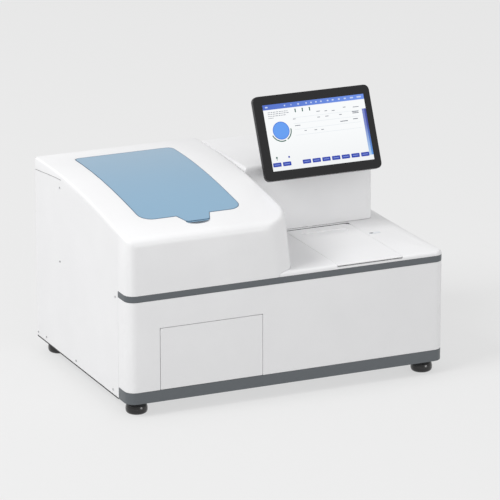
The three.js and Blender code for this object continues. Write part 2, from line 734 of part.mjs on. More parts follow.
function makeDeck() {
  const outer = deckForm(0, deckFoot, 0);
  const pad = block(hatchLeft - seam - deckWall, 0, hatchPadBottom,
    hatchRight + seam + deckWall, hatchBack + deckWall, deckTop).intersect(outer);
  const lugs = [
    [hatchLeft - deckWall, hatchLeft + hatchLedge],
    [hatchRight - hatchLedge, hatchRight + deckWall],
  ];
  const collar = alongZ(pill(buttonX, buttonY, buttonLength + 2 * deckWall, buttonWidth + 2 * deckWall),
    deckTop - buttonCollar, deckTop - deckWall / 2);
  let deck = cut(outer, deckForm(deckWall, deckFoot - overrun, overrun));
  deck = join(deck, pad, collar);
  for (const [x0, x1] of lugs) {
    deck = join(deck, block(x0, hatchAxisY - hatchLug / 2, hatchAxisZ - hatchLug / 2,
      x1, hatchAxisY + hatchLug / 2, deckTop - hatchSkin));
  }
  const seat = block(hatchLeft - seam, -overrun, deckTop - hatchSkin - gap,
    hatchRight + seam, hatchBack, deckTop + overrun);
  const slot = block(hatchLeft - seam, -overrun, deckTop - hatchSkin - fingerSlot,
    hatchRight + seam, fingerReach, deckTop + overrun);
  const opening = block(hatchLeft + hatchLedge, fingerReach, hatchPadBottom - 2 * overrun,
    hatchRight - hatchLedge, hatchBack, deckTop + overrun);
  const swing = block(hatchLeft - seam, hatchAxisY, hatchPadBottom,
    hatchRight + seam, hatchBack, deckTop + overrun);
  const hood = hoodForm(-seam, deckFoot - overrun, overrun);
  const rear = alongZ([
    new THREE.Vector2(hoodWidth - hoodCornerTop - overrun, depth + overrun),
    new THREE.Vector2(hoodWidth - hoodCornerTop - overrun, housingFront - gap),
    ...arc(housingRight - housingCorner, housingFront + housingCorner, housingCorner + gap,
      1.5 * Math.PI, 2 * Math.PI),
    new THREE.Vector2(housingRight + gap, depth + overrun),
  ], deckFoot - overrun, deckTop + overrun);
  const pins = alongX(circle(hatchAxisY, hatchAxisZ, hatchPin + gap, 12),
    hatchLeft + hatchLedge - hatchPinReach - seam, hatchRight - hatchLedge + hatchPinReach + seam);
  const buttonHole = alongZ(pill(buttonX, buttonY, buttonLength + gap, buttonWidth + gap),
    deckTop - buttonCollar - overrun, deckTop + overrun);
  return cut(deck, seat, slot, opening, swing, hood, rear, pins, buttonHole);
}
add(cabinet, 'deck_cover', makeDeck(), 'casing');

// Hatch: a flat cover with a barrel along its back edge and a shallow grip on top
const hatch = new THREE.Group();
cabinet.add(hatch);
function makeHatch() {
  const edge = 1.5;
  const rimDrop = 3;
  const rimWall = 2;
  const gripLength = 105;
  const gripWidth = 30;
  const gripDepth = 3;
  const gripFloor = 2;
  const gripBack = 40;
  const middle = (hatchLeft + hatchRight) / 2;
  const rear = hatchBack - hatchRearGap;
  const noseShare = 0.7;
  const nose = hatchSkin * noseShare;
  const skinBottom = deckTop - hatchSkin;
  const [x0, x1] = [hatchLeft + hatchLedge + seam, hatchRight - hatchLedge - seam];
  const skin = alongX([
    new THREE.Vector2(edge, skinBottom),
    new THREE.Vector2(rear, skinBottom),
    new THREE.Vector2(rear, deckTop),
    ...arc(edge + nose, deckTop - nose, nose, Math.PI / 2, Math.PI, 4),
  ], hatchLeft, hatchRight).intersect(
    alongZ(rounded(hatchLeft, 0, hatchRight, rear, edge, edge, 4 * hatchSkin, edge), 0, deckTop + overrun));
  const rim = cut(
    block(x0, fingerReach + seam, skinBottom - rimDrop, x1, hatchAxisY, skinBottom + edge),
    block(x0 + rimWall, fingerReach + seam + rimWall, skinBottom - overrun,
      x1 - rimWall, hatchAxisY - hatchBarrel - rimWall, skinBottom + 2 * edge));
  const barrel = alongX(circle(hatchAxisY, hatchAxisZ, hatchBarrel, 16), x0, x1);
  const pin = alongX(circle(hatchAxisY, hatchAxisZ, hatchPin, 12),
    x0 - hatchPinReach, x1 + hatchPinReach);
  const grip = alongZ(pill(middle, rear - gripBack, gripLength, gripWidth),
    deckTop - gripDepth, deckTop + overrun);
  const pocket = alongZ(
    pill(middle, rear - gripBack, gripLength + 2 * gripFloor, gripWidth + 2 * gripFloor),
    deckTop - gripDepth - gripFloor, skinBottom + edge);
  return cut(join(skin, rim, barrel, pin, pocket), grip);
}
add(hatch, 'hatch_cover', makeHatch(), 'casing');

// Standby button: a sprung oblong cap in the deck, held by a flange under its collar
const standby = new THREE.Group();
cabinet.add(standby);
function makeButton() {
  const proud = 0.8;
  const flange = 1.2;
  const flangeWall = 1.5;
  const low = deckTop - buttonCollar - gap;
  return join(
    alongZ(pill(buttonX, buttonY, buttonLength - gap, buttonWidth - gap), low - flange / 2, deckTop + proud),
    alongZ(pill(buttonX, buttonY, buttonLength + 2 * flangeWall, buttonWidth + 2 * flangeWall),
      low - flange, low));
}
add(standby, 'standby_button', makeButton(), 'band');

// Loading well under the hatch, hung by its rim under the deck, with lanes for sample racks
const wellDepth = 105;
const wellWall = 2.5;
const wellRim = 4;
const well = {
  left: hatchLeft + hatchLedge, right: hatchRight - hatchLedge,
  front: fingerReach + wellWall, back: hatchAxisY - hatchLug / 2 - wellRim - wellWall - gap,
  top: hatchPadBottom - gap,
};
function makeWell() {
  const laneRib = 2;
  const laneHeight = 6;
  const laneCount = 5;
  const r = 6;
  const floor = well.top - wellDepth;
  const plan = (grow) => {
    return rounded(well.left - grow, well.front - grow, well.right + grow, well.back + grow, r + grow);
  };
  let tub = join(
    alongZ(plan(wellWall), floor, well.top),
    alongZ(plan(wellWall + wellRim), well.top - wellWall, well.top));
  tub = cut(tub, alongZ(plan(0), floor + wellWall, well.top + overrun));
  const pitch = (well.right - well.left) / laneCount;
  for (let i = 1; i < laneCount; i += 1) {
    const x = well.left + pitch * i;
    tub = join(tub, block(x - laneRib / 2, well.front + r, floor + wellWall / 2,
      x + laneRib / 2, well.back - r, floor + wellWall + laneHeight));
  }
  return tub;
}
add(cabinet, 'loading_well', makeWell(), 'liner');

// Chassis: a folded bridge over the drawer that carries the analysis bay
const chassisRoom = 22;
const runnerRoom = 2;
const chassis = {
  left: drawerLeft - runnerRoom, right: drawerRight + runnerRoom, top: drawerTop + chassisRoom,
  front: panelWall + frontRib + gap, back: rearFace - returnWidth,
};
const motorSize = 42;
const motorHeight = 36;
const motorShaft = 3;
const linerBottom = chassis.top + motorHeight + 2 * gap;
const linerWall = 2.5;
const linerSide = 2;
const tubCorner = 10;
const tub = {
  left: bay.left - linerSide, right: bay.right + linerSide,
  front: bay.front - linerSide, back: bay.back + linerSide, floor: linerBottom + linerWall,
};

// The bay's contents keep their proportions: the carousel fills the tub's width, or its share of the tub's
// length where that is less, what stands behind it follows its radius, and the heights follow the room
// under the lid
const bayLengthShare = 0.58;
const carouselSide = 5.5;
const carouselClearance = 4;
const bayReach = Math.min(tub.right - tub.left, (tub.back - tub.front) * bayLengthShare);
const bayHeight = crestTop - tub.floor;
const carouselRadius = bayReach / 2 - carouselSide;
const carousel = {
  x: (tub.left + tub.right) / 2,
  y: tub.front + carouselClearance + carouselRadius,
};

// Drawer runners: a lipped channel on each chassis wall and a bar on each tray wall that slides in it
const runnerHeight = 26;
const runnerWall = 1.5;
const runnerZ = drawerBottom + drawerHeight / 3;
const fixedRail = 6;
const innerRail = 5;
const railLip = 4;
const trayLeft = chassis.left + fixedRail + innerRail;
const trayRight = chassis.right - fixedRail - innerRail;
const frontWall = 4;
const frontRim = 3;
const trayFront = frontWall + frontRim + gap;
const trayBack = drawerLength;
const runnerBack = trayBack + 2 * railLip;

function channel(outerX, towards) {
  const x = (distance) => outerX + towards * distance;
  const lip = fixedRail - runnerWall;
  const [z0, z1] = [runnerZ, runnerZ + runnerHeight];
  return points(
    [x(-weld), z0], [x(fixedRail), z0], [x(fixedRail), z0 + railLip], [x(lip), z0 + railLip],
    [x(lip), z0 + runnerWall], [x(runnerWall), z0 + runnerWall],
    [x(runnerWall), z1 - runnerWall], [x(lip), z1 - runnerWall],
    [x(lip), z1 - railLip], [x(fixedRail), z1 - railLip], [x(fixedRail), z1], [x(-weld), z1]);
}

function slider(outerX, towards) {
  const x = (distance) => outerX + towards * distance;
  const near = runnerWall + gap;
  const neck = fixedRail - runnerWall - gap;
  const [z0, z1] = [runnerZ + runnerWall + gap, runnerZ + runnerHeight - runnerWall - gap];
  const [n0, n1] = [runnerZ + railLip + gap, runnerZ + runnerHeight - railLip - gap];
  const face = fixedRail + innerRail + weld;
  return points([x(near), z0], [x(neck), z0], [x(neck), n0], [x(face), n0], [x(face), n1], [x(neck), n1],
    [x(neck), z1], [x(near), z1]);
}

function makeChassis() {
  const flange = 14;
  const lighten = 9;
  const lightenCount = 2;
  const z0 = sheet + gap;
  const outline = points(
    [chassis.left - sheet - flange, z0], [chassis.left, z0],
    [chassis.left, chassis.top - sheet], [chassis.right, chassis.top - sheet], [chassis.right, z0],
    [chassis.right + sheet + flange, z0], [chassis.right + sheet + flange, z0 + sheet],
    [chassis.right + sheet, z0 + sheet], [chassis.right + sheet, chassis.top],
    [chassis.left - sheet, chassis.top], [chassis.left - sheet, z0 + sheet],
    [chassis.left - sheet - flange, z0 + sheet]);
  let bridge = alongY(outline, chassis.front, chassis.back);
  const stretch = (chassis.back - chassis.front) / (lightenCount + 1);
  for (let i = 0; i < lightenCount; i += 1) {
    const y = chassis.front + stretch * (i + 1);
    bridge = cut(bridge, alongX(circle(y, chassis.top - 3 * lighten, lighten, 12),
      chassis.left - 2 * flange, chassis.right + 2 * flange));
  }
  for (const rail of [channel(chassis.left, 1), channel(chassis.right, -1)]) {
    bridge = join(bridge, alongY(rail, trayFront + sheet, runnerBack));
  }
  return bridge;
}
add(cabinet, 'chassis_frame', makeChassis(), 'zinc');

// Bay liner: the moulded tub under the lid, standing on four posts, its rim under the hood's ledge
function makeLiner() {
  const post = 12;
  const plan = (grow) => {
    return rounded(tub.left - grow, tub.front - grow, tub.right + grow, tub.back + grow, tubCorner + grow);
  };
  const shaftHole = 8;
  const rearTop = hingeZ - armOuter - linerWall;
  let shell = cut(
    alongZ(plan(linerWall), linerBottom, crestTop),
    alongZ(plan(0), tub.floor, crestTop + overrun));
  const roof = wave(-hoodCrestRise, lidSkin + 2 * gap + ledgeWall, -overrun, hoodWidth);
  const rear = block(tub.left - 2 * linerWall, tub.back - tubCorner, rearTop,
    tub.right + 2 * linerWall, tub.back + 2 * linerWall, crestTop + overrun);
  shell = cut(shell, roof, rear,
    alongZ(circle(carousel.x, carousel.y, shaftHole, 16), linerBottom - overrun, tub.floor + overrun));
  for (const x of [tub.left + post, tub.right - post]) {
    for (const y of [tub.front + post, tub.back - post]) {
      shell = join(shell, alongZ(circle(x, y, post / 2, 8), chassis.top + gap, linerBottom + linerWall / 2));
    }
  }
  return shell;
}
add(cabinet, 'bay_liner', makeLiner(), 'liner');

// Carousel drive: a square stepper motor on the chassis, its shaft up through the liner
const rotorLiftShare = 0.0588;
const rotorLift = bayHeight * rotorLiftShare;
const rotorPlate = 4;
const rotorBottom = tub.floor + rotorLift;
const rotorTop = rotorBottom + rotorPlate;
const hubShare = 0.2444;
const hubHeightShare = 0.2;
const hubRadius = carouselRadius * hubShare;
const hubHeight = bayHeight * hubHeightShare;
function makeMotor() {
  const chamfer = 4;
  const boss = 11;
  const bossHeight = 2;
  const half = motorSize / 2;
  const flat = half - chamfer;
  const outline = points([-flat, -half], [flat, -half], [half, -flat], [half, flat],
    [flat, half], [-flat, half], [-half, flat], [-half, -flat])
    .map((v) => new THREE.Vector2(v.x + carousel.x, v.y + carousel.y));
  const z = chassis.top + gap;
  return join(
    alongZ(outline, z, z + motorHeight - bossHeight),
    alongZ(circle(carousel.x, carousel.y, boss, 16), z, z + motorHeight),
    alongZ(circle(carousel.x, carousel.y, motorShaft, 12), z, rotorTop + hubHeight / 2));
}
add(cabinet, 'carousel_motor', makeMotor(), 'black');

// Reagent carousel: a turned plate with an upstand round its edge, dividing ribs and a hub
const wheel = new THREE.Group();
wheel.position.set(carousel.x, carousel.y, 0);
cabinet.add(wheel);
const packInnerShare = 1 / 3;
const packInner = carouselRadius * packInnerShare;
const packFromEdge = 5;
const packOuter = carouselRadius - packFromEdge;
const packHeightShare = 0.294;
const packHeight = bayHeight * packHeightShare;
const ribWidth = 3;
const packCap = 5;
const mouthShare = 7 / 9;
const mouthRadius = carouselRadius * mouthShare;
function makeRotor() {
  const upstand = 12;
  const wall = 2.5;
  const ribHeight = 14;
  const drop = 5;
  let rotor = turned([
    [motorShaft + gap, rotorBottom - drop], [hubRadius / 2, rotorBottom - drop],
    [hubRadius / 2, rotorBottom], [carouselRadius, rotorBottom],
    [carouselRadius, rotorTop + upstand], [carouselRadius - wall, rotorTop + upstand],
    [carouselRadius - wall, rotorTop], [hubRadius, rotorTop], [hubRadius, rotorTop + hubHeight],
    [motorShaft + gap, rotorTop + hubHeight],
  ], 0, 0, 24);
  for (let i = 0; i < packCount; i += 1) {
    const rib = block(hubRadius - wall / 2, -ribWidth / 2, rotorBottom + wall,
      carouselRadius - wall / 2, ribWidth / 2, rotorTop + ribHeight);
    rotor = join(rotor, rib.rotate([0, 0, 90 + 360 * (i + 0.5) / packCount]));
  }
  return rotor;
}
add(wheel, 'carousel_rotor', makeRotor(), 'liner');

function makeKnob() {
  const shank = 8;
  const knob = 15;
  const knobHeight = 14;
  const crownShare = 0.8;
  const crown = knobHeight / 6;
  const hollowShare = 1.15;
  const lobes = 6;
  const z = rotorTop + hubHeight + gap;
  let grip = turned([[0, z], [shank, z], [shank, z + knobHeight / 3], [knob, z + knobHeight / 2],
    [knob, z + knobHeight], [knob * crownShare, z + knobHeight + crown], [0, z + knobHeight + crown],
  ], 0, 0, 18);
  for (let i = 0; i < lobes; i += 1) {
    const angle = 2 * Math.PI * i / lobes;
    const at = knob * hollowShare;
    grip = cut(grip, alongZ(circle(at * Math.cos(angle), at * Math.sin(angle), knob / 4, 6),
      z - overrun, z + 2 * knobHeight));
  }
  return grip;
}
add(wheel, 'carousel_knob', makeKnob(), 'band');

function makePack() {
  const half = Math.PI / packCount;
  const side = ribWidth / 2 + seam;
  const shoulder = 6;
  const capRadius = 9;
  const smallCapShare = 0.75;
  const plan = (inset) => {
    const at = (r) => half - Math.asin((side + inset) / r);
    return [
      ...arc(0, 0, packOuter - inset, -at(packOuter), at(packOuter), 5),
      ...arc(0, 0, packInner + inset, at(packInner), -at(packInner), 2),
    ];
  };
  const z = rotorTop + gap;
  const sections = [[z, 0], [z + packHeight - shoulder, 0], [z + packHeight, shoulder / 2]]
    .map(([height, inset]) => plan(inset).map((v) => new THREE.Vector3(v.x, v.y, height)));
  return join(
    loft(sections, (v) => new THREE.Vector2(v.x, v.y)),
    alongZ(circle(mouthRadius, 0, capRadius, 10), z + packHeight - shoulder, z + packHeight + packCap),
    alongZ(circle((packInner + mouthRadius) / 2, 0, capRadius * smallCapShare, 8), z + packHeight - shoulder,
      z + packHeight + packCap / 2));
}
for (let i = 0; i < packCount; i += 1) {
  const pack = add(wheel, `reagent_pack_${i + 1}`, makePack(), 'amber');
  pack.rotation.z = 2 * Math.PI * (i / packCount) + Math.PI / 2;
}

// Pipetting probe: a turning sleeve on a flanged base, a sliding shaft, the arm and its needle
const packTop = rotorTop + gap + packHeight + packCap;
const armReachShare = 1.3111;
const armReach = carouselRadius * armReachShare;
const column = { x: carousel.x, y: carousel.y + mouthRadius + armReach };
const armAngle = THREE.MathUtils.degToRad(40);
const needleClearShare = 0.0412;
const needleLengthShare = 0.2293;
const probeArmShare = 0.0882;
const needleClear = bayHeight * needleClearShare;
const needleLength = bayHeight * needleLengthShare;
const probeArmHeight = bayHeight * probeArmShare;
const probeArmBottom = packTop + needleClear + needleLength;
const sleeveShare = 0.1333;
const flangeShare = 0.2889;
const bossHeightShare = 0.153;
const washFootShare = 0.1667;
const shaftShare = 0.0778;
const sleeveRadius = carouselRadius * sleeveShare;
const columnFlange = carouselRadius * flangeShare;
const columnBoss = bayHeight * bossHeightShare;
const washFoot = carouselRadius * washFootShare;
const shaftRadius = carouselRadius * shaftShare;
const sleeveTop = probeArmBottom - needleLength - 2 * needleClear;
const needle = {
  x: column.x + armReach * Math.sin(armAngle),
  y: column.y - armReach * Math.cos(armAngle),
};

function makeColumnBase() {
  const flangeWall = 5;
  const bossRoom = 6;
  const boss = sleeveRadius + bossRoom;
  const z = tub.floor + gap;
  return turned([[sleeveRadius + gap, z], [columnFlange, z], [columnFlange, z + flangeWall],
    [boss, z + flangeWall + gap], [boss, z + columnBoss], [sleeveRadius + gap, z + columnBoss],
  ], column.x, column.y, 16);
}
add(cabinet, 'column_base', makeColumnBase(), 'zinc');

const turret = new THREE.Group();
cabinet.add(turret);
function makeSleeve() {
  const z = tub.floor + gap;
  const collarRoom = 3;
  const collar = sleeveRadius + collarRoom;
  const collarWall = 6;
  const seat = z + columnBoss + gap;
  return turned([[shaftRadius + gap, z + gap], [sleeveRadius, z + gap], [sleeveRadius, seat], [collar, seat],
    [collar, seat + collarWall], [sleeveRadius, seat + collarWall], [sleeveRadius, sleeveTop],
    [shaftRadius + gap, sleeveTop]], column.x, column.y, 14);
}
add(turret, 'column_sleeve', makeSleeve(), 'steel');

const probe = new THREE.Group();
cabinet.add(probe);
function makeShaft() {
  const bottom = tub.floor + needleLength;
  return alongZ(circle(column.x, column.y, shaftRadius, 16), bottom, probeArmBottom - gap);
}
add(probe, 'probe_shaft', makeShaft(), 'steel');

function makeProbeArm() {
  const bigShare = 0.1356;
  const smallShare = 0.0763;
  const big = armReach * bigShare;
  const small = armReach * smallShare;
  const edge = 3;
  const needleHole = 2.2;
  const taper = Math.asin((big - small) / armReach);
  const foot = new THREE.Vector2(column.x, column.y);
  const plan = (inset) => [
    ...arc(0, 0, big - inset, Math.PI / 2 + taper, 1.5 * Math.PI - taper, 8),
    ...arc(armReach, 0, small - inset, -Math.PI / 2 - taper, Math.PI / 2 + taper, 6),
  ].map((v) => v.rotateAround(new THREE.Vector2(), armAngle - Math.PI / 2).add(foot));
  const top = probeArmBottom + probeArmHeight;
  const sections = [[probeArmBottom, 0], [top - edge, 0], [top, edge]]
    .map(([z, inset]) => plan(inset).map((v) => new THREE.Vector3(v.x, v.y, z)));
  const body = loft(sections, (v) => new THREE.Vector2(v.x, v.y));
  const hole = alongZ(circle(needle.x, needle.y, needleHole, 10), probeArmBottom - overrun, top + overrun);
  return cut(body, hole);
}
add(probe, 'probe_arm_cover', makeProbeArm(), 'casing');

function makeNeedle() {
  const outer = 1.6;
  const tip = 0.5;
  const cone = 8;
  const head = 3.6;
  const headHeight = 7;
  const top = probeArmBottom + probeArmHeight + gap;
  const low = probeArmBottom - needleLength;
  return turned([[0, low], [tip, low], [outer, low + cone], [outer, top],
    [head, top], [head, top + headHeight], [0, top + headHeight]], needle.x, needle.y, 10);
}
add(probe, 'probe_needle', makeNeedle(), 'steel');

// Wash station under the needle, an open cup on a foot
const cupBoreShare = 0.0778;
const cupWall = 3;
const cupDepthShare = 0.153;
const cupDropShare = 0.0988;
const cupBore = carouselRadius * cupBoreShare;
const cupDepth = bayHeight * cupDepthShare;
const cupTop = probeArmBottom - needleLength - bayHeight * cupDropShare;
function makeWashCup() {
  const footWall = 4;
  const z = tub.floor + gap;
  return turned([[0, z], [washFoot, z], [washFoot, z + footWall], [cupBore + cupWall, z + footWall * 2],
    [cupBore + cupWall, cupTop], [cupBore, cupTop], [cupBore, cupTop - cupDepth], [0, cupTop - cupDepth]],
  needle.x, needle.y, 14);
}
add(cabinet, 'wash_station', makeWashCup(), 'liner');

// Incubator at the left and photon counter at the right behind the carousel
const blockAheadShare = 0.1778;
const blockAhead = carouselRadius * blockAheadShare;
const blockBack = tub.back - 2 * seam;
const incubatorTop = packTop - packCap - 2 * seam;
const portShare = 0.0778;
const portDepthShare = 0.141;
const portRadius = carouselRadius * portShare;
const portDepth = bayHeight * portDepthShare;
const port = { x: column.x - armReach * Math.sin(armAngle), y: needle.y };
function makeIncubator() {
  const edge = 5;
  const finHeight = 4;
  const finCount = 5;
  const right = column.x - columnFlange - 2 * seam;
  const left = tub.left + seam;
  let heater = alongZ(rounded(left, port.y - blockAhead, right, blockBack, edge, edge, edge, tubCorner),
    tub.floor + gap, incubatorTop);
  const wheelSpace = alongZ(circle(carousel.x, carousel.y, carouselRadius + carouselClearance / 2, 40),
    tub.floor - overrun, incubatorTop + overrun);
  const run = (blockBack - port.y - 2 * blockAhead) / finCount;
  for (let i = 0; i < finCount; i += 1) {
    const y = port.y + blockAhead + run * i;
    heater = join(heater, block(left + edge, y, incubatorTop - finHeight,
      right - edge, y + run / 3, incubatorTop + finHeight));
  }
  return cut(heater, wheelSpace,
    alongZ(circle(port.x, port.y, portRadius, 16), incubatorTop - portDepth, incubatorTop + overrun));
}
add(cabinet, 'incubator_block', makeIncubator(), 'zinc');

function makeCounter() {
  const edge = 4;
  const tubeShare = 0.1667;
  const tubeHeightShare = 0.2;
  const tube = carouselRadius * tubeShare;
  const tubeHeight = bayHeight * tubeHeightShare;
  const left = column.x + columnFlange + 2 * seam;
  const right = tub.right - seam;
  const front = needle.y + washFoot + seam;
  const top = incubatorTop;
  const cx = (left + right) / 2;
  const cy = (front + blockBack) / 2;
  const housing = alongZ(rounded(left, front, right, blockBack, edge, edge, tubCorner, edge),
    tub.floor + gap, top);
  const tower = turned([[0, top - edge], [tube + edge, top - edge], [tube + edge, top + edge],
    [tube, top + edge], [tube, top + tubeHeight - edge], [tube - edge, top + tubeHeight],
    [0, top + tubeHeight]], cx, cy, 16);
  return join(housing, tower);
}
add(cabinet, 'photon_counter', makeCounter(), 'black');

// Waste drawer: front, tray and bin on two telescopic runners
const drawer = new THREE.Group();
cabinet.add(drawer);
const trayWall = 2;
const trayLift = 8;
const binProud = 3;
const trayBottom = drawerBottom + trayLift;
const trayTop = drawerTop - drawerHeight / 4;

function makeDrawerFront() {
  const edge = 1.5;
  const bottom = drawerBottom;
  const face = alongY(rounded(drawerLeft, bottom, drawerRight, drawerTop, edge), 0, frontWall);
  const rim = cut(
    alongY(rounded(drawerLeft, bottom, drawerRight, drawerTop, edge), frontWall - edge, frontWall + frontRim),
    alongY(rounded(drawerLeft + frontRim, bottom + frontRim,
      drawerRight - frontRim, drawerTop - frontRim, edge), 0, frontWall + frontRim + overrun));
  return join(face, rim);
}
add(drawer, 'drawer_front', makeDrawerFront(), 'casing');

function makeTray() {
  const outer = block(trayLeft, trayFront, trayBottom, trayRight, trayBack, trayTop);
  const inner = block(trayLeft + trayWall, trayFront + trayWall, trayBottom + trayWall,
    trayRight - trayWall, trayBack - trayWall, trayTop + overrun);
  const slotReach = 16;
  const slotHigh = 12.8;
  const slotDrop = 12.8;
  const slots = [1, 2, 3].map((i) => {
    const y = trayFront + (trayBack - trayFront) * i / 4;
    return block(trayLeft - overrun, y - slotReach, trayTop - slotDrop - slotHigh,
      trayRight + overrun, y + slotReach, trayTop - slotDrop);
  });
  const bars = [slider(chassis.left, 1), slider(chassis.right, -1)];
  return join(cut(outer, inner, ...slots), ...bars.map((outline) => alongY(outline, trayFront, trayBack)));
}
add(drawer, 'drawer_tray', makeTray(), 'zinc');

const bin = {
  left: trayLeft + trayWall + 2 * gap, right: trayRight - trayWall - 2 * gap,
  front: trayFront + trayWall + 2 * gap, back: trayBack - trayWall - 2 * gap,
  bottom: trayBottom + trayWall + gap, top: trayTop + binProud,
};
const binWall = 2.5;
function makeBin() {
  const corner = 14;
  const draft = 3;
  const plan = (grow) => {
    return rounded(bin.left + grow, bin.front + grow, bin.right - grow, bin.back - grow, corner - grow / 2);
  };
  const form = (inset, from, to) => loft([[from, inset + draft], [to, inset]].map(([z, grow]) => {
    return plan(grow).map((v) => new THREE.Vector3(v.x, v.y, z));
  }), (v) => new THREE.Vector2(v.x, v.y));
  return cut(form(0, bin.bottom, bin.top), form(binWall, bin.bottom + binWall, bin.top + weld));
}
add(drawer, 'waste_bin', makeBin(), 'band');

// Rear panel: one recessed sheet behind the hood, the housing and the cabinet
const fanSize = 80;
const fanFromSide = 90;
const fanX = width - fanFromSide;
const fanZ = 138;
const fanDepth = 25;
const inletFromSide = 58;
const inletX = width - inletFromSide;
const inletZ = 52;
const inletWide = 48;
const inletHigh = 28;
const switchWide = 22;
const interfaceShare = 0.3879;
const interfaceX = hoodWidth + (fanX - hoodWidth) * interfaceShare;
const interfaceZ = 133;
const interfaceWide = 74;
const interfaceHigh = 22;
function makeRearPanel() {
  const side = hoodWall + gap;
  const top = crestTop - hoodWall - 2 * gap;
  const lowTop = housingTop - hoodWall - 2 * gap;
  const dip = crestTop - rightShoulder - leftShoulder;
  const housingEnd = housingRight - housingWall - gap;
  const stepShare = 0.9;
  const step = cabinetHeight * stepShare;
  const outline = points(
    [runOn, panelFoot], [width - runOn, panelFoot], [width - runOn, cabinetHeight - gap],
    [housingEnd, cabinetHeight - gap], [housingEnd, lowTop - housingEdge],
    [housingEnd - housingEdge, lowTop], [hoodWidth + rightShoulder, lowTop],
    [hoodWidth + rightShoulder, dip],
    [hoodWidth - 2 * rightShoulder, dip], [hoodWidth - 2 * rightShoulder, top],
    [side + leftShoulder, top], [side, top - leftShoulder], [side, cabinetHeight - gap],
    [side, step], [runOn, step]);
  let sheetPanel = alongY(outline, rearFace, rearFace + sheet);
  const through = (outlineXZ) => alongY(outlineXZ, rearFace - overrun, rearFace + overrun);
  const slotLength = 34;
  const slotHigh = 4;
  const slotPitch = 12;
  const slotRows = 5;
  const slotBanks = 3;
  for (let row = 0; row < slotRows; row += 1) {
    for (let bank = 0; bank < slotBanks; bank += 1) {
      const x = side + slotLength + bank * (slotLength + slotPitch);
      const z = cabinetHeight / 2 + row * slotPitch;
      sheetPanel = cut(sheetPanel, through(rounded(x, z, x + slotLength, z + slotHigh, 0)));
    }
  }
  const ringWidth = 5;
  const ringShares = [3 / 16, 1 / 2, 13 / 16];
  const spoke = 3;
  for (const share of ringShares) {
    const inner = (fanSize / 2 - spoke) * share;
    const turn = Math.asin(spoke / inner);
    for (let quarter = 0; quarter < 4; quarter += 1) {
      const from = quarter * Math.PI / 2 + turn;
      const to = (quarter + 1) * Math.PI / 2 - turn;
      const outer = arc(fanX, fanZ, inner + ringWidth, from, to, 3);
      sheetPanel = cut(sheetPanel, through([...outer, ...arc(fanX, fanZ, inner, to, from, 3)]));
    }
  }
  const window = (x, z, wide, high) => {
    return through(rounded(x - wide / 2, z - high / 2, x + wide / 2, z + high / 2, 0));
  };
  return cut(sheetPanel, window(inletX, inletZ, inletWide, inletHigh),
    window(interfaceX, interfaceZ, interfaceWide, interfaceHigh));
}
add(cabinet, 'rear_panel', makeRearPanel(), 'panel');

// Mains inlet with a rocker switch beside its socket
const socketWide = 24;
const socketHigh = 16;
const socketDepth = 17;
const rockerX = inletX + inletWide / 2 - switchWide / 2;
const rockerHigh = 19;
const rockerWide = 13;
function makeInlet() {
  const lip = 5;
  const lipWall = 2.5;
  const bodyDepth = 24;
  const outside = rearFace + sheet + gap;
  const half = { x: inletWide / 2 - gap, z: inletHigh / 2 - gap };
  const socketX = inletX - switchWide / 2;
  const body = join(
    block(inletX - half.x, outside - bodyDepth, inletZ - half.z,
      inletX + half.x, outside + lipWall / 2, inletZ + half.z),
    alongY(rounded(inletX - half.x - lip, inletZ - half.z - lip,
      inletX + half.x + lip, inletZ + half.z + lip, lip / 2), outside, outside + lipWall));
  const socket = alongY(points([socketX - socketWide / 2, inletZ - socketHigh / 2],
    [socketX + socketWide / 2, inletZ - socketHigh / 2], [socketX + socketWide / 2, inletZ + socketHigh / 5],
    [socketX + socketWide / 3, inletZ + socketHigh / 2], [socketX - socketWide / 3, inletZ + socketHigh / 2],
    [socketX - socketWide / 2, inletZ + socketHigh / 5]), outside - socketDepth, outside + overrun);
  const room = { x: rockerWide / 2 + seam, z: rockerHigh / 2 + seam };
  const pocket = block(rockerX - room.x, outside - bodyDepth / 2, inletZ - room.z,
    rockerX + room.x, outside + overrun, inletZ + room.z);
  return cut(body, socket, pocket);
}
add(cabinet, 'power_inlet', makeInlet(), 'black');

const rocker = new THREE.Group();
const rockerSink = 4;
const rockerY = rearFace + sheet + gap - rockerSink;
rocker.position.set(rockerX, rockerY, inletZ);
cabinet.add(rocker);
function makeRocker() {
  const proud = 7;
  const dip = 2.5;
  const back = 4;
  const half = rockerHigh / 2;
  const outline = points([-back, -half / 3], [0, gap - half], [proud - gap, gap - half], [proud - dip, 0],
    [proud - gap, half - gap], [0, half - gap], [-back, half / 3]);
  const pin = 1.6;
  return join(alongX(outline, -rockerWide / 2, rockerWide / 2),
    alongX(circle(0, 0, pin, 10), -rockerWide / 2 - seam + gap, rockerWide / 2 + seam - gap));
}
add(rocker, 'power_rocker', makeRocker(), 'black');

// Cooling fan behind the grille
function makeFanFrame() {
  const half = fanSize / 2;
  const corner = 5;
  const wall = 2;
  const hub = 14;
  const strut = 4;
  const strutWall = 3;
  const [y0, y1] = [rearFace - gap - fanDepth, rearFace - gap];
  const ring = cut(
    alongY(rounded(fanX - half, fanZ - half, fanX + half, fanZ + half, corner), y0, y1),
    alongY(circle(fanX, fanZ, half - wall, 28), y0 - overrun, y1 + overrun));
  const motor = alongY(circle(fanX, fanZ, hub, 16), y0, y0 + strutWall);
  const centre = new THREE.Vector2(fanX, fanZ);
  const tip = half - wall / 2;
  const struts = [1, 5, 9].map((sixth) => {
    const strip = points([0, -strut / 2], [tip, -strut / 2], [tip, strut / 2], [0, strut / 2])
      .map((v) => v.rotateAround(new THREE.Vector2(), sixth * Math.PI / 6).add(centre));
    return alongY(strip, y0, y0 + strutWall);
  });
  const pinReach = 14;
  return join(ring, motor, ...struts, alongY(circle(fanX, fanZ, motorShaft / 2, 10), y0, y0 + pinReach));
}
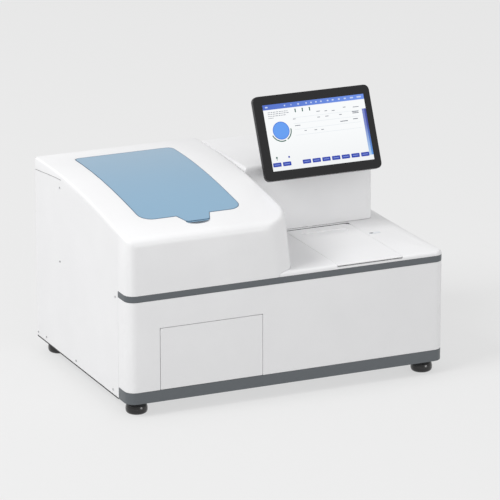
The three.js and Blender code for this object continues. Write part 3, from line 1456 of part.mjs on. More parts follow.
add(cabinet, 'fan_frame', makeFanFrame(), 'black');

const rotorGroup = new THREE.Group();
rotorGroup.position.set(fanX, rearFace - gap - fanDepth, fanZ);
cabinet.add(rotorGroup);
function makeFanRotor() {
  const hub = 15;
  const hubWall = 3;
  const blades = 7;
  const clearance = 4;
  const bladeWall = 1.6;
  const chord = 15;
  const pitch = 40;
  const [y0, y1] = [hubWall + gap, fanDepth - clearance];
  const reach = fanSize / 2 - clearance;
  let rotor = cut(alongY(circle(0, 0, hub, 20), y0, y1),
    alongY(circle(0, 0, motorShaft / 2 + gap, 10), y0 - overrun, y0 + chord));
  for (let i = 0; i < blades; i += 1) {
    const blade = block(hub - hubWall, -chord / 2, -bladeWall / 2, reach, chord / 2, bladeWall / 2)
      .rotate([pitch, 0, 0]).translate(0, (y0 + y1) / 2, 0).rotate([0, 360 * i / blades, 0]);
    rotor = join(rotor, blade);
  }
  return rotor;
}
add(rotorGroup, 'fan_rotor', makeFanRotor(), 'black');

// Interface block with a network socket and two serial sockets
function makeInterface() {
  const half = { x: interfaceWide / 2 - gap, z: interfaceHigh / 2 - gap };
  const outside = rearFace + sheet;
  const deep = 18;
  const backWall = 3;
  const networkWide = 15;
  const networkHigh = 13;
  const serialWide = 14;
  const serialHigh = 7;
  const socket = (x, wide, high) => block(x - wide / 2, outside - deep + backWall, interfaceZ - high / 2,
    x + wide / 2, outside + overrun, interfaceZ + high / 2);
  const body = block(interfaceX - half.x, outside - deep, interfaceZ - half.z,
    interfaceX + half.x, outside + seam, interfaceZ + half.z);
  return cut(body, socket(interfaceX - interfaceWide / 3, networkWide, networkHigh),
    socket(interfaceX, serialWide, serialHigh),
    socket(interfaceX + interfaceWide / 3, serialWide, serialHigh));
}
add(cabinet, 'interface_block', makeInterface(), 'zinc');

// Main board on spacers behind the rear panel, with its chips, sockets and a finned heat sink
function makeBoard() {
  const leftReach = 50;
  const fanRoom = 2;
  const high = 62;
  const thick = 1.6;
  const spacer = 3;
  const standOff = 9;
  const finHeight = 16;
  const fins = 6;
  const low = 44;
  const left = interfaceX - leftReach;
  const wide = fanX - fanSize / 2 - fanRoom - left;
  const back = rearFace - gap - standOff;
  const front = back - thick;
  let board = block(left, front, low, left + wide, back, low + high);
  for (const x of [left + 2 * spacer, left + wide - 2 * spacer]) {
    for (const z of [low + 2 * spacer, low + high - 2 * spacer]) {
      board = join(board, alongY(circle(x, z, spacer, 6), front + thick / 2, rearFace - gap));
    }
  }
  // Chips and sockets by left, foot, width, height and rise. The first has a heat sink.
  const chipShares = [
    [0.12, 0.2, 0.2, 0.35, 0.1],
    [0.4, 0.55, 0.16, 0.3, 0.05],
    [0.7, 0.15, 0.22, 0.2, 0.15],
    [0.68, 0.6, 0.24, 0.25, 0.06],
  ];
  const chips = chipShares.map(([x, z, w, h, rise]) => {
    return block(left + wide * x, front - high * rise, low + high * z,
      left + wide * (x + w), front + thick / 2, low + high * (z + h));
  });
  board = join(board, ...chips);
  const [x, z, w, h] = chipShares[0];
  for (let i = 0; i < fins; i += 1) {
    const at = left + wide * (x + w * (i + 0.5) / fins) - thick / 2;
    board = join(board, block(at, front - finHeight, low + high * z,
      at + thick, front - spacer, low + high * (z + h)));
  }
  return board;
}
add(cabinet, 'main_board', makeBoard(), 'board');

// Power supply in its perforated case on the base
function makeSupply() {
  const wide = 100;
  const long = 160;
  const high = 42;
  const fromSide = 40;
  const fromRear = 60;
  const x0 = width - fromSide - wide;
  const y0 = rearFace - fromRear - long;
  const z0 = sheet + gap;
  const edge = 3;
  const slot = 5;
  let supply = alongZ(rounded(x0, y0, x0 + wide, y0 + long, edge), z0, z0 + high);
  const slotCount = 6;
  for (let i = 0; i < slotCount; i += 1) {
    const y = y0 + long * (i + 1) / (slotCount + 2);
    supply = cut(supply, block(x0 + wide / 5, y, z0 + high - edge,
      x0 + wide - wide / 5, y + slot, z0 + high + overrun));
  }
  return supply;
}
add(cabinet, 'power_supply', makeSupply(), 'zinc');

// Syringe pump on the chassis wall: drive, glass barrel and a sliding plunger
const pump = {
  x: chassis.right + sheet + gap, y: 110, bottom: 40, height: 150, wide: 34, deep: 44,
};
const barrelAhead = 14;
const barrelCap = 8;
const barrel = {
  x: pump.x + pump.wide / 2, y: pump.y - barrelAhead, radius: 9, bore: 6, nozzle: 1, bottom: 112, top: 172,
};
function makePump() {
  const edge = 3;
  const bracket = 12;
  const clampWall = 8;
  const body = alongZ(rounded(pump.x, pump.y, pump.x + pump.wide, pump.y + pump.deep, edge),
    pump.bottom, pump.bottom + pump.height);
  const clamps = [barrel.bottom + clampWall, barrel.top - 2 * clampWall].map((z) => {
    return cut(
      block(barrel.x - bracket, barrel.y - bracket, z, barrel.x + bracket, pump.y + edge, z + clampWall),
      alongZ(circle(barrel.x, barrel.y, barrel.radius + gap, 14), z - overrun, z + clampWall + overrun));
  });
  return join(body, ...clamps);
}
add(cabinet, 'syringe_pump', makePump(), 'black');
add(cabinet, 'syringe_barrel', turned([
  [barrel.bore, barrel.bottom], [barrel.radius, barrel.bottom], [barrel.radius, barrel.top - barrelCap],
  [barrel.radius / 2, barrel.top], [barrel.nozzle, barrel.top], [barrel.nozzle, barrel.top - barrelCap],
  [barrel.bore, barrel.top - barrelCap],
], barrel.x, barrel.y, 12), 'steel');
const plunger = new THREE.Group();
cabinet.add(plunger);
function makePlunger() {
  const rod = 2.5;
  const piston = barrel.bore - gap;
  const button = 8;
  const buttonWall = 4;
  const below = 14;
  const seal = 8;
  const low = barrel.bottom - below;
  const pistonTop = barrel.top - barrelCap - gap;
  return turned([
    [0, low], [button, low], [button, low + buttonWall], [rod, low + buttonWall],
    [rod, pistonTop - seal], [piston, pistonTop - seal], [piston, pistonTop], [0, pistonTop],
  ], barrel.x, barrel.y, 12);
}
add(plunger, 'syringe_plunger', makePlunger(), 'steel');

// Screen: tilting touch panel on a fork that stands on the rear housing
const screenY = housingFront - screenAhead;
const screenZ = cabinetHeight + screenCentreRise;
const pivotGap = 14;
const pivotBehind = screenThickness + pivotGap;
const pivot = {
  y: screenY + pivotBehind * Math.cos(screenTilt),
  z: screenZ - pivotBehind * Math.sin(screenTilt),
};
const knuckleWidth = 30;
const pivotPin = 4;
const knuckleRadius = 10;
const earWall = 8;
function makeStand() {
  const base = 4;
  const baseWide = 70;
  const baseBack = 36;
  const baseFront = 12;
  const head = 9;
  const z0 = housingTop + gap;
  const baseY = housingFront + baseFront;
  const ear = [
    ...arc(pivot.y, pivot.z, head, -0.1 * Math.PI, Math.PI, 7),
    new THREE.Vector2(baseY + head / 2, z0), new THREE.Vector2(baseY + baseBack, z0),
  ];
  const foot = alongZ(rounded(screenCentreX - baseWide / 2, baseY,
    screenCentreX + baseWide / 2, baseY + baseBack + head, head / 2), z0, z0 + base);
  const inner = knuckleWidth / 2 + gap;
  const ears = [[-inner - earWall, -inner], [inner, inner + earWall]]
    .map(([a, b]) => alongX(ear, screenCentreX + a, screenCentreX + b));
  const pin = alongX(circle(pivot.y, pivot.z, pivotPin, 12),
    screenCentreX - inner - seam, screenCentreX + inner + seam);
  const hole = alongZ(circle(screenCentreX, cableY, cableHole, 16), z0 - overrun, z0 + base + overrun);
  return join(cut(join(foot, ...ears), hole), pin);
}
add(cabinet, 'screen_stand', makeStand(), 'casing');

const screen = new THREE.Group();
screen.position.set(screenCentreX, pivot.y, pivot.z);
screen.rotation.x = -screenTilt;
cabinet.add(screen);
const screenCorner = 11;
const glassWall = 3;
const faceY = -pivotBehind;
function screenPlan(inset) {
  const [x, z] = [screenWidth / 2 - inset, screenHeight / 2 - inset];
  return rounded(-x, -z, x, z, Math.max(seam, screenCorner - inset));
}
const onY = (y) => (v) => new THREE.Vector3(v.x, y, v.y);
function makeScreenBack() {
  const taper = 18;
  const square = 6;
  const shell = 2.5;
  const front = faceY + glassWall + gap;
  const back = -pivotGap;
  const outer = loft([
    screenPlan(0).map(onY(front)), screenPlan(0).map(onY(front + square)), screenPlan(taper).map(onY(back)),
  ], inXZ);
  const inner = loft([
    screenPlan(shell).map(onY(front - overrun)), screenPlan(shell).map(onY(front + square)),
    screenPlan(taper).map(onY(back - shell)),
  ], inXZ);
  let moulding = cut(outer, inner);
  const ventCount = 5;
  for (let i = 0; i < ventCount; i += 1) {
    const z = -screenHeight / 4 + i * shell * 2;
    moulding = cut(moulding, block(-screenWidth / 5, back - 2 * shell, z,
      -screenWidth / 12, back + overrun, z + shell / 2));
  }
  return moulding;
}
add(screen, 'screen_back_shell', makeScreenBack(), 'black');
add(screen, 'screen_glass', alongY(screenPlan(0), faceY, faceY + glassWall), 'glass');
const displayInset = 16;
const displayWall = 7;
const displayFace = faceY + glassWall + gap;
const displayForm = alongY(screenPlan(displayInset), displayFace, displayFace + displayWall);
add(screen, 'display_panel', displayForm, 'zinc');
function makeKnuckle() {
  const plate = 4;
  const plateWide = 76;
  const plateHigh = 60;
  const neck = 7;
  const back = -pivotGap + gap;
  const body = join(
    alongX(circle(0, 0, knuckleRadius, 16), -knuckleWidth / 2, knuckleWidth / 2),
    block(-knuckleWidth / 2, back, -neck, knuckleWidth / 2, 0, neck),
    alongY(rounded(-plateWide / 2, -plateHigh / 2, plateWide / 2, plateHigh / 2, neck),
      back, back + plate - gap));
  return cut(body, alongX(circle(0, 0, pivotPin + gap, 12), -knuckleWidth, knuckleWidth));
}
add(screen, 'screen_knuckle', makeKnuckle(), 'zinc');

export default analyzer;
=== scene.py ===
import math

import bmesh
import bpy
from mathutils import Matrix, Vector


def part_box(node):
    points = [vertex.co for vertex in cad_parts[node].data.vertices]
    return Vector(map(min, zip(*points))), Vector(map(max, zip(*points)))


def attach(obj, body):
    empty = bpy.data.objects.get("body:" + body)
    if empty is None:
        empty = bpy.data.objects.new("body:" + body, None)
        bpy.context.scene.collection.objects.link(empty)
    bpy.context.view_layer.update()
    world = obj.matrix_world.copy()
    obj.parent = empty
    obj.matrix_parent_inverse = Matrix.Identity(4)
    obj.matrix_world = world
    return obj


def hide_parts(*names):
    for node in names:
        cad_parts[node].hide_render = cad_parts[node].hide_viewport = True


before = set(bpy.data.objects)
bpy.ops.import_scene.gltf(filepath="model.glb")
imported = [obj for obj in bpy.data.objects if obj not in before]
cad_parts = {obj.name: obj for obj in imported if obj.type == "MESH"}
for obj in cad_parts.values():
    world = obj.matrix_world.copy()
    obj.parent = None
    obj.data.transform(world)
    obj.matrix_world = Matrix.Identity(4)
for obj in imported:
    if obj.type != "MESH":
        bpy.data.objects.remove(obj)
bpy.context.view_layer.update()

# The view: one long lens from far off, a little above the bench and to the left of the instrument, so that
# the front, the left side and the top all show and the edges stay nearly parallel.
eye = Vector((-3.1925, -7.1437, 2.6517))
looking = Vector((0.3924, 0.8712, -0.2950))
lens = bpy.data.cameras.new("bench_camera")
lens.sensor_width = 36
lens.lens = 290.9
lens.clip_end = 60
camera = bpy.data.objects.new("bench_camera", lens)
camera.location = eye
camera.rotation_euler = looking.to_track_quat("-Z", "Y").to_euler()
bpy.context.scene.collection.objects.link(camera)
bpy.context.scene.camera = camera
bpy.context.scene.view_settings.view_transform = "Standard"


# The light: a pale room all round, one wide soft lamp high on the left and a fainter one low in front at
# the right. The hood's shoulder is brightest, the left side next and the front last, and nothing white
# burns out.
def paint(red, green, blue):
    """A colour read off a screen, 0 to 255, as the renderer wants it."""
    def linear(value):
        share = value / 255
        return share / 12.92 if share <= 0.04045 else ((share + 0.055) / 1.055) ** 2.4
    return (linear(red), linear(green), linear(blue), 1)


pale_room = paint(235, 235, 235)
room = bpy.data.worlds.new("pale_room")
room.use_nodes = True
bpy.context.scene.world = room
nodes = room.node_tree.nodes
links = room.node_tree.links
nodes.clear()
out = nodes.new("ShaderNodeOutputWorld")
glow = nodes.new("ShaderNodeBackground")
glow.inputs["Color"].default_value = (1, 1, 1, 1)
glow.inputs["Strength"].default_value = 0.66
seen = nodes.new("ShaderNodeBackground")
seen.inputs["Color"].default_value = pale_room
rays = nodes.new("ShaderNodeLightPath")
either = nodes.new("ShaderNodeMath")
either.operation = "MAXIMUM"
blend = nodes.new("ShaderNodeMixShader")
links.new(rays.outputs["Is Camera Ray"], either.inputs[0])
links.new(rays.outputs["Is Transmission Ray"], either.inputs[1])
links.new(either.outputs[0], blend.inputs[0])
links.new(glow.outputs[0], blend.inputs[1])
links.new(seen.outputs[0], blend.inputs[2])
links.new(blend.outputs[0], out.inputs[0])


def lamp(name, place, watts, width):
    light = bpy.data.lights.new(name, "AREA")
    light.shape = "SQUARE"
    light.size = width
    light.energy = watts
    holder = bpy.data.objects.new(name, light)
    holder.location = place
    holder.rotation_euler = (Vector((0, 0, 0.25)) - Vector(place)).to_track_quat("-Z", "Y").to_euler()
    bpy.context.scene.collection.objects.link(holder)


lamp("key_lamp", (-5.9, -1, 6.05), 440, 4)
lamp("front_lamp", (3, -6.2, 1.1), 98, 2.5)


# The bench: a plain pale top that runs far past the view. To the camera it is mostly its own even colour,
# so that it stays plain to the edges of the picture, and it still takes the instrument's shadow.
def nodes_of(material):
    material.use_nodes = True
    tree = material.node_tree
    tree.nodes.clear()
    return tree.nodes, tree.links


bench_size = 40
bm = bmesh.new()
bmesh.ops.create_grid(bm, x_segments=1, y_segments=1, size=bench_size / 2)
mesh = bpy.data.meshes.new("bench_top")
bm.to_mesh(mesh)
bm.free()
bench = bpy.data.objects.new("bench_top", mesh)
bpy.context.scene.collection.objects.link(bench)
bench_paint = bpy.data.materials.new("bench_paint")
nodes, links = nodes_of(bench_paint)
out = nodes.new("ShaderNodeOutputMaterial")
rays = nodes.new("ShaderNodeLightPath")
either = nodes.new("ShaderNodeMath")
either.operation = "MAXIMUM"
tone = nodes.new("ShaderNodeMix")
tone.data_type = "RGBA"
tone.inputs["A"].default_value = (0.45, 0.45, 0.45, 1)
tone.inputs["B"].default_value = (0.8, 0.8, 0.8, 1)
matt = nodes.new("ShaderNodeBsdfDiffuse")
even = nodes.new("ShaderNodeEmission")
even.inputs["Color"].default_value = pale_room
share = nodes.new("ShaderNodeMath")
share.operation = "MULTIPLY"
share.inputs[1].default_value = 0.7
blend = nodes.new("ShaderNodeMixShader")
links.new(rays.outputs["Is Camera Ray"], either.inputs[0])
links.new(rays.outputs["Is Glossy Ray"], either.inputs[1])
links.new(either.outputs[0], tone.inputs["Factor"])
links.new(either.outputs[0], share.inputs[0])
links.new(tone.outputs["Result"], matt.inputs["Color"])
links.new(share.outputs[0], blend.inputs[0])
links.new(matt.outputs[0], blend.inputs[1])
links.new(even.outputs[0], blend.inputs[2])
links.new(blend.outputs[0], out.inputs[0])
mesh.materials.append(bench_paint)


# Levelling feet: a barrel-shaped pad of glossy black nylon with a rubber sole, turned on a lathe, on a
# zinc-plated stud that screws into the base. A hexagonal nut and a washer lock each one under the cabinet.
cabinet_wide, cabinet_deep, foot_high = 690, 486, 28


def spot(x, y, z):
    """A place in millimetres from the cabinet's left side, front and underside, in metres in the frame."""
    return Vector((x - cabinet_wide / 2, y - cabinet_deep / 2, z + foot_high)) / 1000


def moulded(name, colour, gloss, grain=0.4, relief=0.02, drift=0.03, coat=0):
    """Moulded plastic: a fine grain in millimetres, a faint drift of tone and a slightly uneven gloss."""
    skin = bpy.data.materials.new(name)
    nodes, links = nodes_of(skin)
    out = nodes.new("ShaderNodeOutputMaterial")
    shader = nodes.new("ShaderNodeBsdfPrincipled")
    shader.inputs["Coat Weight"].default_value = coat
    shader.inputs["Coat Roughness"].default_value = 0.14
    place = nodes.new("ShaderNodeTexCoord")
    fine = nodes.new("ShaderNodeTexNoise")
    fine.inputs["Scale"].default_value = 1000 / grain
    fine.inputs["Detail"].default_value = 3
    bump = nodes.new("ShaderNodeBump")
    bump.inputs["Strength"].default_value = 0.5
    bump.inputs["Distance"].default_value = relief / 1000
    wide = nodes.new("ShaderNodeTexNoise")
    wide.inputs["Scale"].default_value = 9
    wide.inputs["Detail"].default_value = 4
    tone = nodes.new("ShaderNodeValToRGB")
    tone.color_ramp.elements[0].position = 0.3
    tone.color_ramp.elements[1].position = 0.7
    tone.color_ramp.elements[0].color = [part * (1 - drift) for part in colour[:3]] + [1]
    tone.color_ramp.elements[1].color = colour
    rub = nodes.new("ShaderNodeMapRange")
    rub.inputs["To Min"].default_value = gloss * 0.85
    rub.inputs["To Max"].default_value = gloss * 1.15
    links.new(place.outputs["Object"], fine.inputs["Vector"])
    links.new(place.outputs["Object"], wide.inputs["Vector"])
    links.new(fine.outputs["Fac"], bump.inputs["Height"])
    links.new(bump.outputs["Normal"], shader.inputs["Normal"])
    links.new(wide.outputs["Fac"], tone.inputs["Fac"])
    links.new(tone.outputs["Color"], shader.inputs["Base Color"])
    links.new(wide.outputs["Fac"], rub.inputs["Value"])
    links.new(rub.outputs["Result"], shader.inputs["Roughness"])
    links.new(shader.outputs[0], out.inputs[0])
    return skin


def plated(name, colour, gloss, spangle):
    """Zinc on steel: crystals of a size in millimetres, each with its own tone and gloss, under a haze."""
    skin = bpy.data.materials.new(name)
    nodes, links = nodes_of(skin)
    out = nodes.new("ShaderNodeOutputMaterial")
    shader = nodes.new("ShaderNodeBsdfPrincipled")
    shader.inputs["Metallic"].default_value = 1
    place = nodes.new("ShaderNodeTexCoord")
    crystals = nodes.new("ShaderNodeTexVoronoi")
    crystals.inputs["Scale"].default_value = 1000 / spangle
    haze = nodes.new("ShaderNodeTexNoise")
    haze.inputs["Scale"].default_value = 900
    haze.inputs["Detail"].default_value = 3
    tone = nodes.new("ShaderNodeValToRGB")
    tone.color_ramp.elements[0].position = 0.2
    tone.color_ramp.elements[1].position = 0.8
    tone.color_ramp.elements[0].color = [part * 0.86 for part in colour[:3]] + [1]
    tone.color_ramp.elements[1].color = colour
    rub = nodes.new("ShaderNodeMapRange")
    rub.inputs["To Min"].default_value = gloss * 0.75
    rub.inputs["To Max"].default_value = gloss * 1.25
    bump = nodes.new("ShaderNodeBump")
    bump.inputs["Strength"].default_value = 0.4
    bump.inputs["Distance"].default_value = 0.000008
    links.new(place.outputs["Object"], crystals.inputs["Vector"])
    links.new(place.outputs["Object"], haze.inputs["Vector"])
    links.new(crystals.outputs["Color"], tone.inputs["Fac"])
    links.new(crystals.outputs["Color"], rub.inputs["Value"])
    links.new(haze.outputs["Fac"], bump.inputs["Height"])
    links.new(tone.outputs["Color"], shader.inputs["Base Color"])
    links.new(rub.outputs["Result"], shader.inputs["Roughness"])
    links.new(bump.outputs["Normal"], shader.inputs["Normal"])
    links.new(shader.outputs[0], out.inputs[0])
    return skin


def turned(profile, steps=32):
    """A form turned about the upright axis at the origin, from pairs of radius and height in millimetres."""
    bm = bmesh.new()
    chain = [bm.verts.new((radius / 1000, 0, height / 1000)) for radius, height in profile]
    edges = [bm.edges.new(pair) for pair in zip(chain, chain[1:])]
    bmesh.ops.spin(bm, geom=chain + edges, cent=(0, 0, 0), axis=(0, 0, 1), angle=2 * math.pi, steps=steps,
        use_merge=True)
    bmesh.ops.remove_doubles(bm, verts=bm.verts, dist=0.000002)
    bmesh.ops.recalc_face_normals(bm, faces=bm.faces)
    return bm


def gather(bm, part, place=Matrix()):
    """Sets a part into a mesh at its place."""
    part.transform(place)
    store = bpy.data.meshes.new("store")
    part.to_mesh(store)
    part.free()
    bm.from_mesh(store)
    bpy.data.meshes.remove(store)


def finished(name, bm, body, slot, *skins, crease=30):
    """The finished piece: smooth over its curves, crisp at its edges, and fixed to what carries it."""
    for face in bm.faces:
        face.smooth = True
    for edge in bm.edges:
        edge.smooth = edge.calc_face_angle(math.pi) < math.radians(crease)
    mesh = bpy.data.meshes.new(name)
    bm.to_mesh(mesh)
    bm.free()
    for skin in skins:
        mesh.materials.append(skin)
    piece = bpy.data.objects.new(name, mesh)
    bpy.context.scene.collection.objects.link(piece)
    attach(piece, body)
    return piece


def hexagon(radius, height, edge):
    """A hexagonal head about the origin with eased edges, in millimetres."""
    bm = bmesh.new()
    bmesh.ops.create_cone(bm, cap_ends=True, segments=6, radius1=radius / 1000, radius2=radius / 1000,
        depth=height / 1000)
    bmesh.ops.bevel(bm, geom=bm.edges, offset=edge / 1000, offset_type="OFFSET", affect="EDGES", segments=2,
        profile=0.5, material=-1)
    return bm


gloss_black = moulded("gloss_black_nylon", paint(10, 10, 11), 0.16, grain=0.3, relief=0.002, coat=0.3)
rubber = moulded("black_rubber", paint(38, 38, 38), 0.75, grain=0.6, relief=0.04)
zinc = plated("zinc_plate", paint(202, 205, 208), 0.34, 6)
bright_zinc = plated("bright_zinc", paint(216, 218, 218), 0.22, 0.8)
pad_profile = [(0, -28), (15.6, -28), (18.2, -27.5), (20.1, -26.2), (21.4, -24.2), (22, -21.4),
    (22.1, -18.4), (21.8, -15.2), (21, -12.2), (19.8, -9.6), (18.2, -7.6), (16, -6.2), (13, -5.3),
    (9, -5), (0, -5)]
sole_top = 0.1 - foot_high
nut_radius, nut_thick, nut_edge, nut_middle = 10.8, 2.9, 0.4, -3.1
washer_profile = [(5.2, -1.6), (11, -1.6), (11.2, -1.3), (11.2, -0.6), (11, -0.35), (5.2, -0.35), (5.2, -1.6)]
thread_pitch = 1.5
thread_turns = 18
thread_low = -11.4
root_radius, crest_radius = 4.35, 4.95
foot_in_x, foot_in_y = 32, 36
left_x, right_x = foot_in_x, cabinet_wide - foot_in_x
front_y, rear_y = foot_in_y, cabinet_deep - foot_in_y
feet = (("foot_front_left", "foot_a", left_x, front_y), ("foot_rear_left", "foot_b", left_x, rear_y),
    ("foot_front_right", "foot_c", right_x, front_y), ("foot_rear_right", "foot_d", right_x, rear_y))
for node, body, x, y in feet:
    base = Matrix.Translation(spot(x, y, 0))
    pad = turned(pad_profile, 40)
    for face in pad.faces:
        face.material_index = 1 if face.calc_center_median().z < sole_top / 1000 else 0
    pad.transform(base)
    pad_piece = finished(node + "_pad", pad, body, "foot", gloss_black, rubber)
    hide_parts(node)
    nut = hexagon(nut_radius, nut_thick, nut_edge)
    nut.transform(base @ Matrix.Translation((0, 0, nut_middle / 1000)))
    gather(nut, turned(washer_profile), base)
    finished(node + "_lock_nut", nut, body, "zinc", bright_zinc)
    ridges = [(0, thread_low)]
    for turn in range(thread_turns):
        low = thread_low + turn * thread_pitch
        ridges += [(root_radius, low + 0.1), (root_radius, low + 0.35)]
        ridges += [(crest_radius, low + 0.75), (crest_radius, low + 1.05)]
    top = thread_low + thread_turns * thread_pitch
    ridges += [(root_radius, top + 0.1), (3.7, top + 0.3), (0, top + 0.3)]
    stud = turned(ridges, 20)
    stud.transform(base)
    finished(node + "_stud", stud, body, "zinc", bright_zinc, crease=50)


# Base tray: one blank of zinc-plated steel with its edge folded up, air slots pressed out under the supply,
# and a weld nut over each foot. Its plate is left bare.
def dress(material, *names):
    """Gives a solid of the frame its finish."""
    for name in names:
        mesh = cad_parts[name].data
        if mesh.materials:
            mesh.materials[0] = material
        else:
            mesh.materials.append(material)


dress(zinc, "base_tray")


# Moulded front and its two bands: white and grey ABS with a fine spark grain, wrapped round both front
# corners and clipped to the tray's edge. Every open edge has a small radius from the tool.
crease_angle = math.radians(28)
weld_reach = 0.00002


def softened(name, body, material, radius, segments=2):
    """Stands for a solid of the frame: small radii on its edges, and curves that run smooth over facets."""
    bm = bmesh.new()
    bm.from_mesh(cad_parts[name].data)
    bmesh.ops.remove_doubles(bm, verts=bm.verts, dist=weld_reach)
    bmesh.ops.dissolve_limit(bm, angle_limit=math.radians(0.5), verts=bm.verts, edges=bm.edges)
    for face in bm.faces:
        face.smooth = True
    for edge in bm.edges:
        edge.smooth = edge.calc_face_angle(math.pi) < crease_angle
    mesh = bpy.data.meshes.new(name + "_part")
    bm.to_mesh(mesh)
    bm.free()
    mesh.materials.append(material)
    piece = bpy.data.objects.new(name + "_part", mesh)
    bpy.context.scene.collection.objects.link(piece)
    if radius:
        ease = piece.modifiers.new("eased_edges", "BEVEL")
        ease.width = radius / 1000
        ease.segments = segments
        ease.limit_method = "ANGLE"
        ease.angle_limit = crease_angle
        ease.harden_normals = True
    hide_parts(name)
    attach(piece, body)
    return piece


white = moulded("white_abs", paint(237, 237, 238), 0.4)
grey = moulded("grey_abs", paint(92, 97, 101), 0.42, grain=0.5, relief=0.03)
softened("front_panel", "casing", white, 0.8)
for name in ("lower_trim_band", "upper_trim_band"):
    softened(name, "casing", grey, 0.6)


# Side panels: powder-coated sheet, screwed to the frame along the foot and behind the hood's edge with
# cross-recess pan heads. A black rubber trim runs under each panel's lower edge, partly real trim and partly
# painted shade that draws the dark shadow line along the panel's foot.
def strip(low, high, edge=0.15):
    """A cut strip of foam, rubber or plate between two corners in the cabinet, with eased edges."""
    bm = bmesh.new()
    bmesh.ops.create_cube(bm, size=1)
    bmesh.ops.scale(bm, vec=high - low, verts=bm.verts)
    bmesh.ops.translate(bm, vec=(low + high) / 2, verts=bm.verts)
    bmesh.ops.bevel(bm, geom=bm.edges, offset=edge / 1000, offset_type="OFFSET", affect="EDGES", segments=2,
        profile=0.5, material=-1)
    return bm


def screw(radius, height):
    """A pan head with a cross recess, its seat at the origin and its top upwards, in millimetres."""
    bm = turned([(radius, 0), (radius * 1.01, height * 0.35), (radius * 0.93, height * 0.75),
        (radius * 0.7, height)], 24)
    rim = [edge for edge in bm.edges if min(vert.co.z for vert in edge.verts) > height * 0.00099]
    arm = radius * 0.52 / 1000
    half = radius * 0.13 / 1000
    top = height / 1000
    corners = [(arm, -half), (arm, half), (half, half), (half, arm), (-half, arm), (-half, half),
        (-arm, half), (-arm, -half), (-half, -half), (-half, -arm), (half, -arm), (half, -half)]
    cross = [bm.verts.new((x, y, top)) for x, y in corners]
    loop = [bm.edges.new((cross[i - 1], cross[i])) for i in range(len(cross))]
    bmesh.ops.bridge_loops(bm, edges=rim + loop)
    walls = bmesh.ops.extrude_edge_only(bm, edges=loop)["geom"]
    sunk = [part for part in walls if isinstance(part, bmesh.types.BMVert)]
    bmesh.ops.translate(bm, verts=sunk, vec=(0, 0, -height * 0.0006))
    floor = bm.faces.new(sorted(sunk, key=lambda vert: [near.index for near in cross].index(
        min(cross, key=lambda near: (near.co.xy - vert.co.xy).length).index)))
    # The floor of the cross recess takes the second material, which is painted shade.
    floor.material_index = 1
    bmesh.ops.recalc_face_normals(bm, faces=bm.faces)
    return bm


powder = moulded("white_powder_coat", paint(237, 237, 238), 0.5, grain=0.9, relief=0.05)
# Painted shade: a dark grey laid in the floors of the screws' cross recesses.
recess_floor_shade = moulded("recess_painted_shade", paint(60, 60, 62), 0.6)
softened("left_side_panel", "casing", powder, 0.5)
softened("right_side_panel", "casing", powder, 0.5)
to_left = Matrix.Rotation(math.radians(-90), 4, "Y")
to_right = Matrix.Rotation(math.radians(90), 4, "Y")
side_screws = ((354, 196), (480, 9), (435, 11), (273, 10), (77, 11), (62, 207))
hood_screw = (350, 352)
screw_lift = 0.02
trim_half = 0.35
# Black rubber strips under the panels' lower edges, partly painted shade for the shadow line there.
for side, x in (("left", 0), ("right", cabinet_wide)):
    trim = strip(spot(x - trim_half, 50.6, -1.3), spot(x + trim_half, 485.7, 1.1), 0.2)
    finished("foot_shadow_trim_" + side, trim, "casing", "band", rubber)
for side, x, outward, places in (("left", -screw_lift, to_left, (hood_screw,) + side_screws),
        ("right", cabinet_wide + screw_lift, to_right, side_screws)):
    bm = bmesh.new()
    for y, z in places:
        gather(bm, screw(2.4, 1.3), Matrix.Translation(spot(x, y, z)) @ outward)
    finished(side + "_panel_screws", bm, "casing", "zinc", bright_zinc, recess_floor_shade)


# Hood: a wave-shaped shell of white ABS over the analysis bay, lofted from a rounded front to a high rear
# crest. It clips over the front and the side panel, and a lipped seat takes the lid. A dark bead of foam in
# the seam behind is painted shadow, darkening the seam where the shade falls.
def bead(places, radius, closed=False):
    """A round bead laid along places in the frame, its radius in millimetres."""
    curve = bpy.data.curves.new("bead_line", "CURVE")
    curve.dimensions = "3D"
    curve.bevel_depth = radius / 1000
    curve.bevel_resolution = 2
    curve.use_fill_caps = not closed
    spline = curve.splines.new("POLY")
    spline.points.add(len(places) - 1)
    for point, place in zip(spline.points, places):
        point.co = (*place, 1)
    spline.use_cyclic_u = closed
    holder = bpy.data.objects.new("bead_line", curve)
    bpy.context.scene.collection.objects.link(holder)
    bm = bmesh.new()
    evaluated = holder.evaluated_get(bpy.context.evaluated_depsgraph_get())
    bm.from_mesh(bpy.data.meshes.new_from_object(evaluated))
    bpy.data.objects.remove(holder)
    return bm


softened("hood_shell", "casing", white, 0.8)
# Dark foam for the beads and strips that stand for the shadow in seams and gaps: painted shadow.
shadow_foam = moulded("dark_shadow_foam", paint(70, 72, 76), 0.9, grain=0.5, relief=0.1)
seam_line = ((344, 369.7), (381, 366.9), (418, 363.2), (454, 359.2), (484.5, 356.3))
seam_drop = 0.15
seam_radius = 0.4
seam_shadow_bead = bead([spot(0, y, z - seam_drop) for y, z in seam_line], seam_radius)
finished("hood_seam_shadow_bead", seam_shadow_bead, "casing", "band", shadow_foam)


# Lid: a pale blue moulding, glossy on top, that lies flush in the hood on the same wave. A dark bead of
# rubber round its edge closes the bay against light. It is also painted shadow: its dark blue-grey draws
# the shaded gap as a thin line round the lid.
lid_blue = moulded("blue_lid", paint(119, 164, 195), 0.3, grain=0.3, relief=0.006, drift=0.02, coat=1)
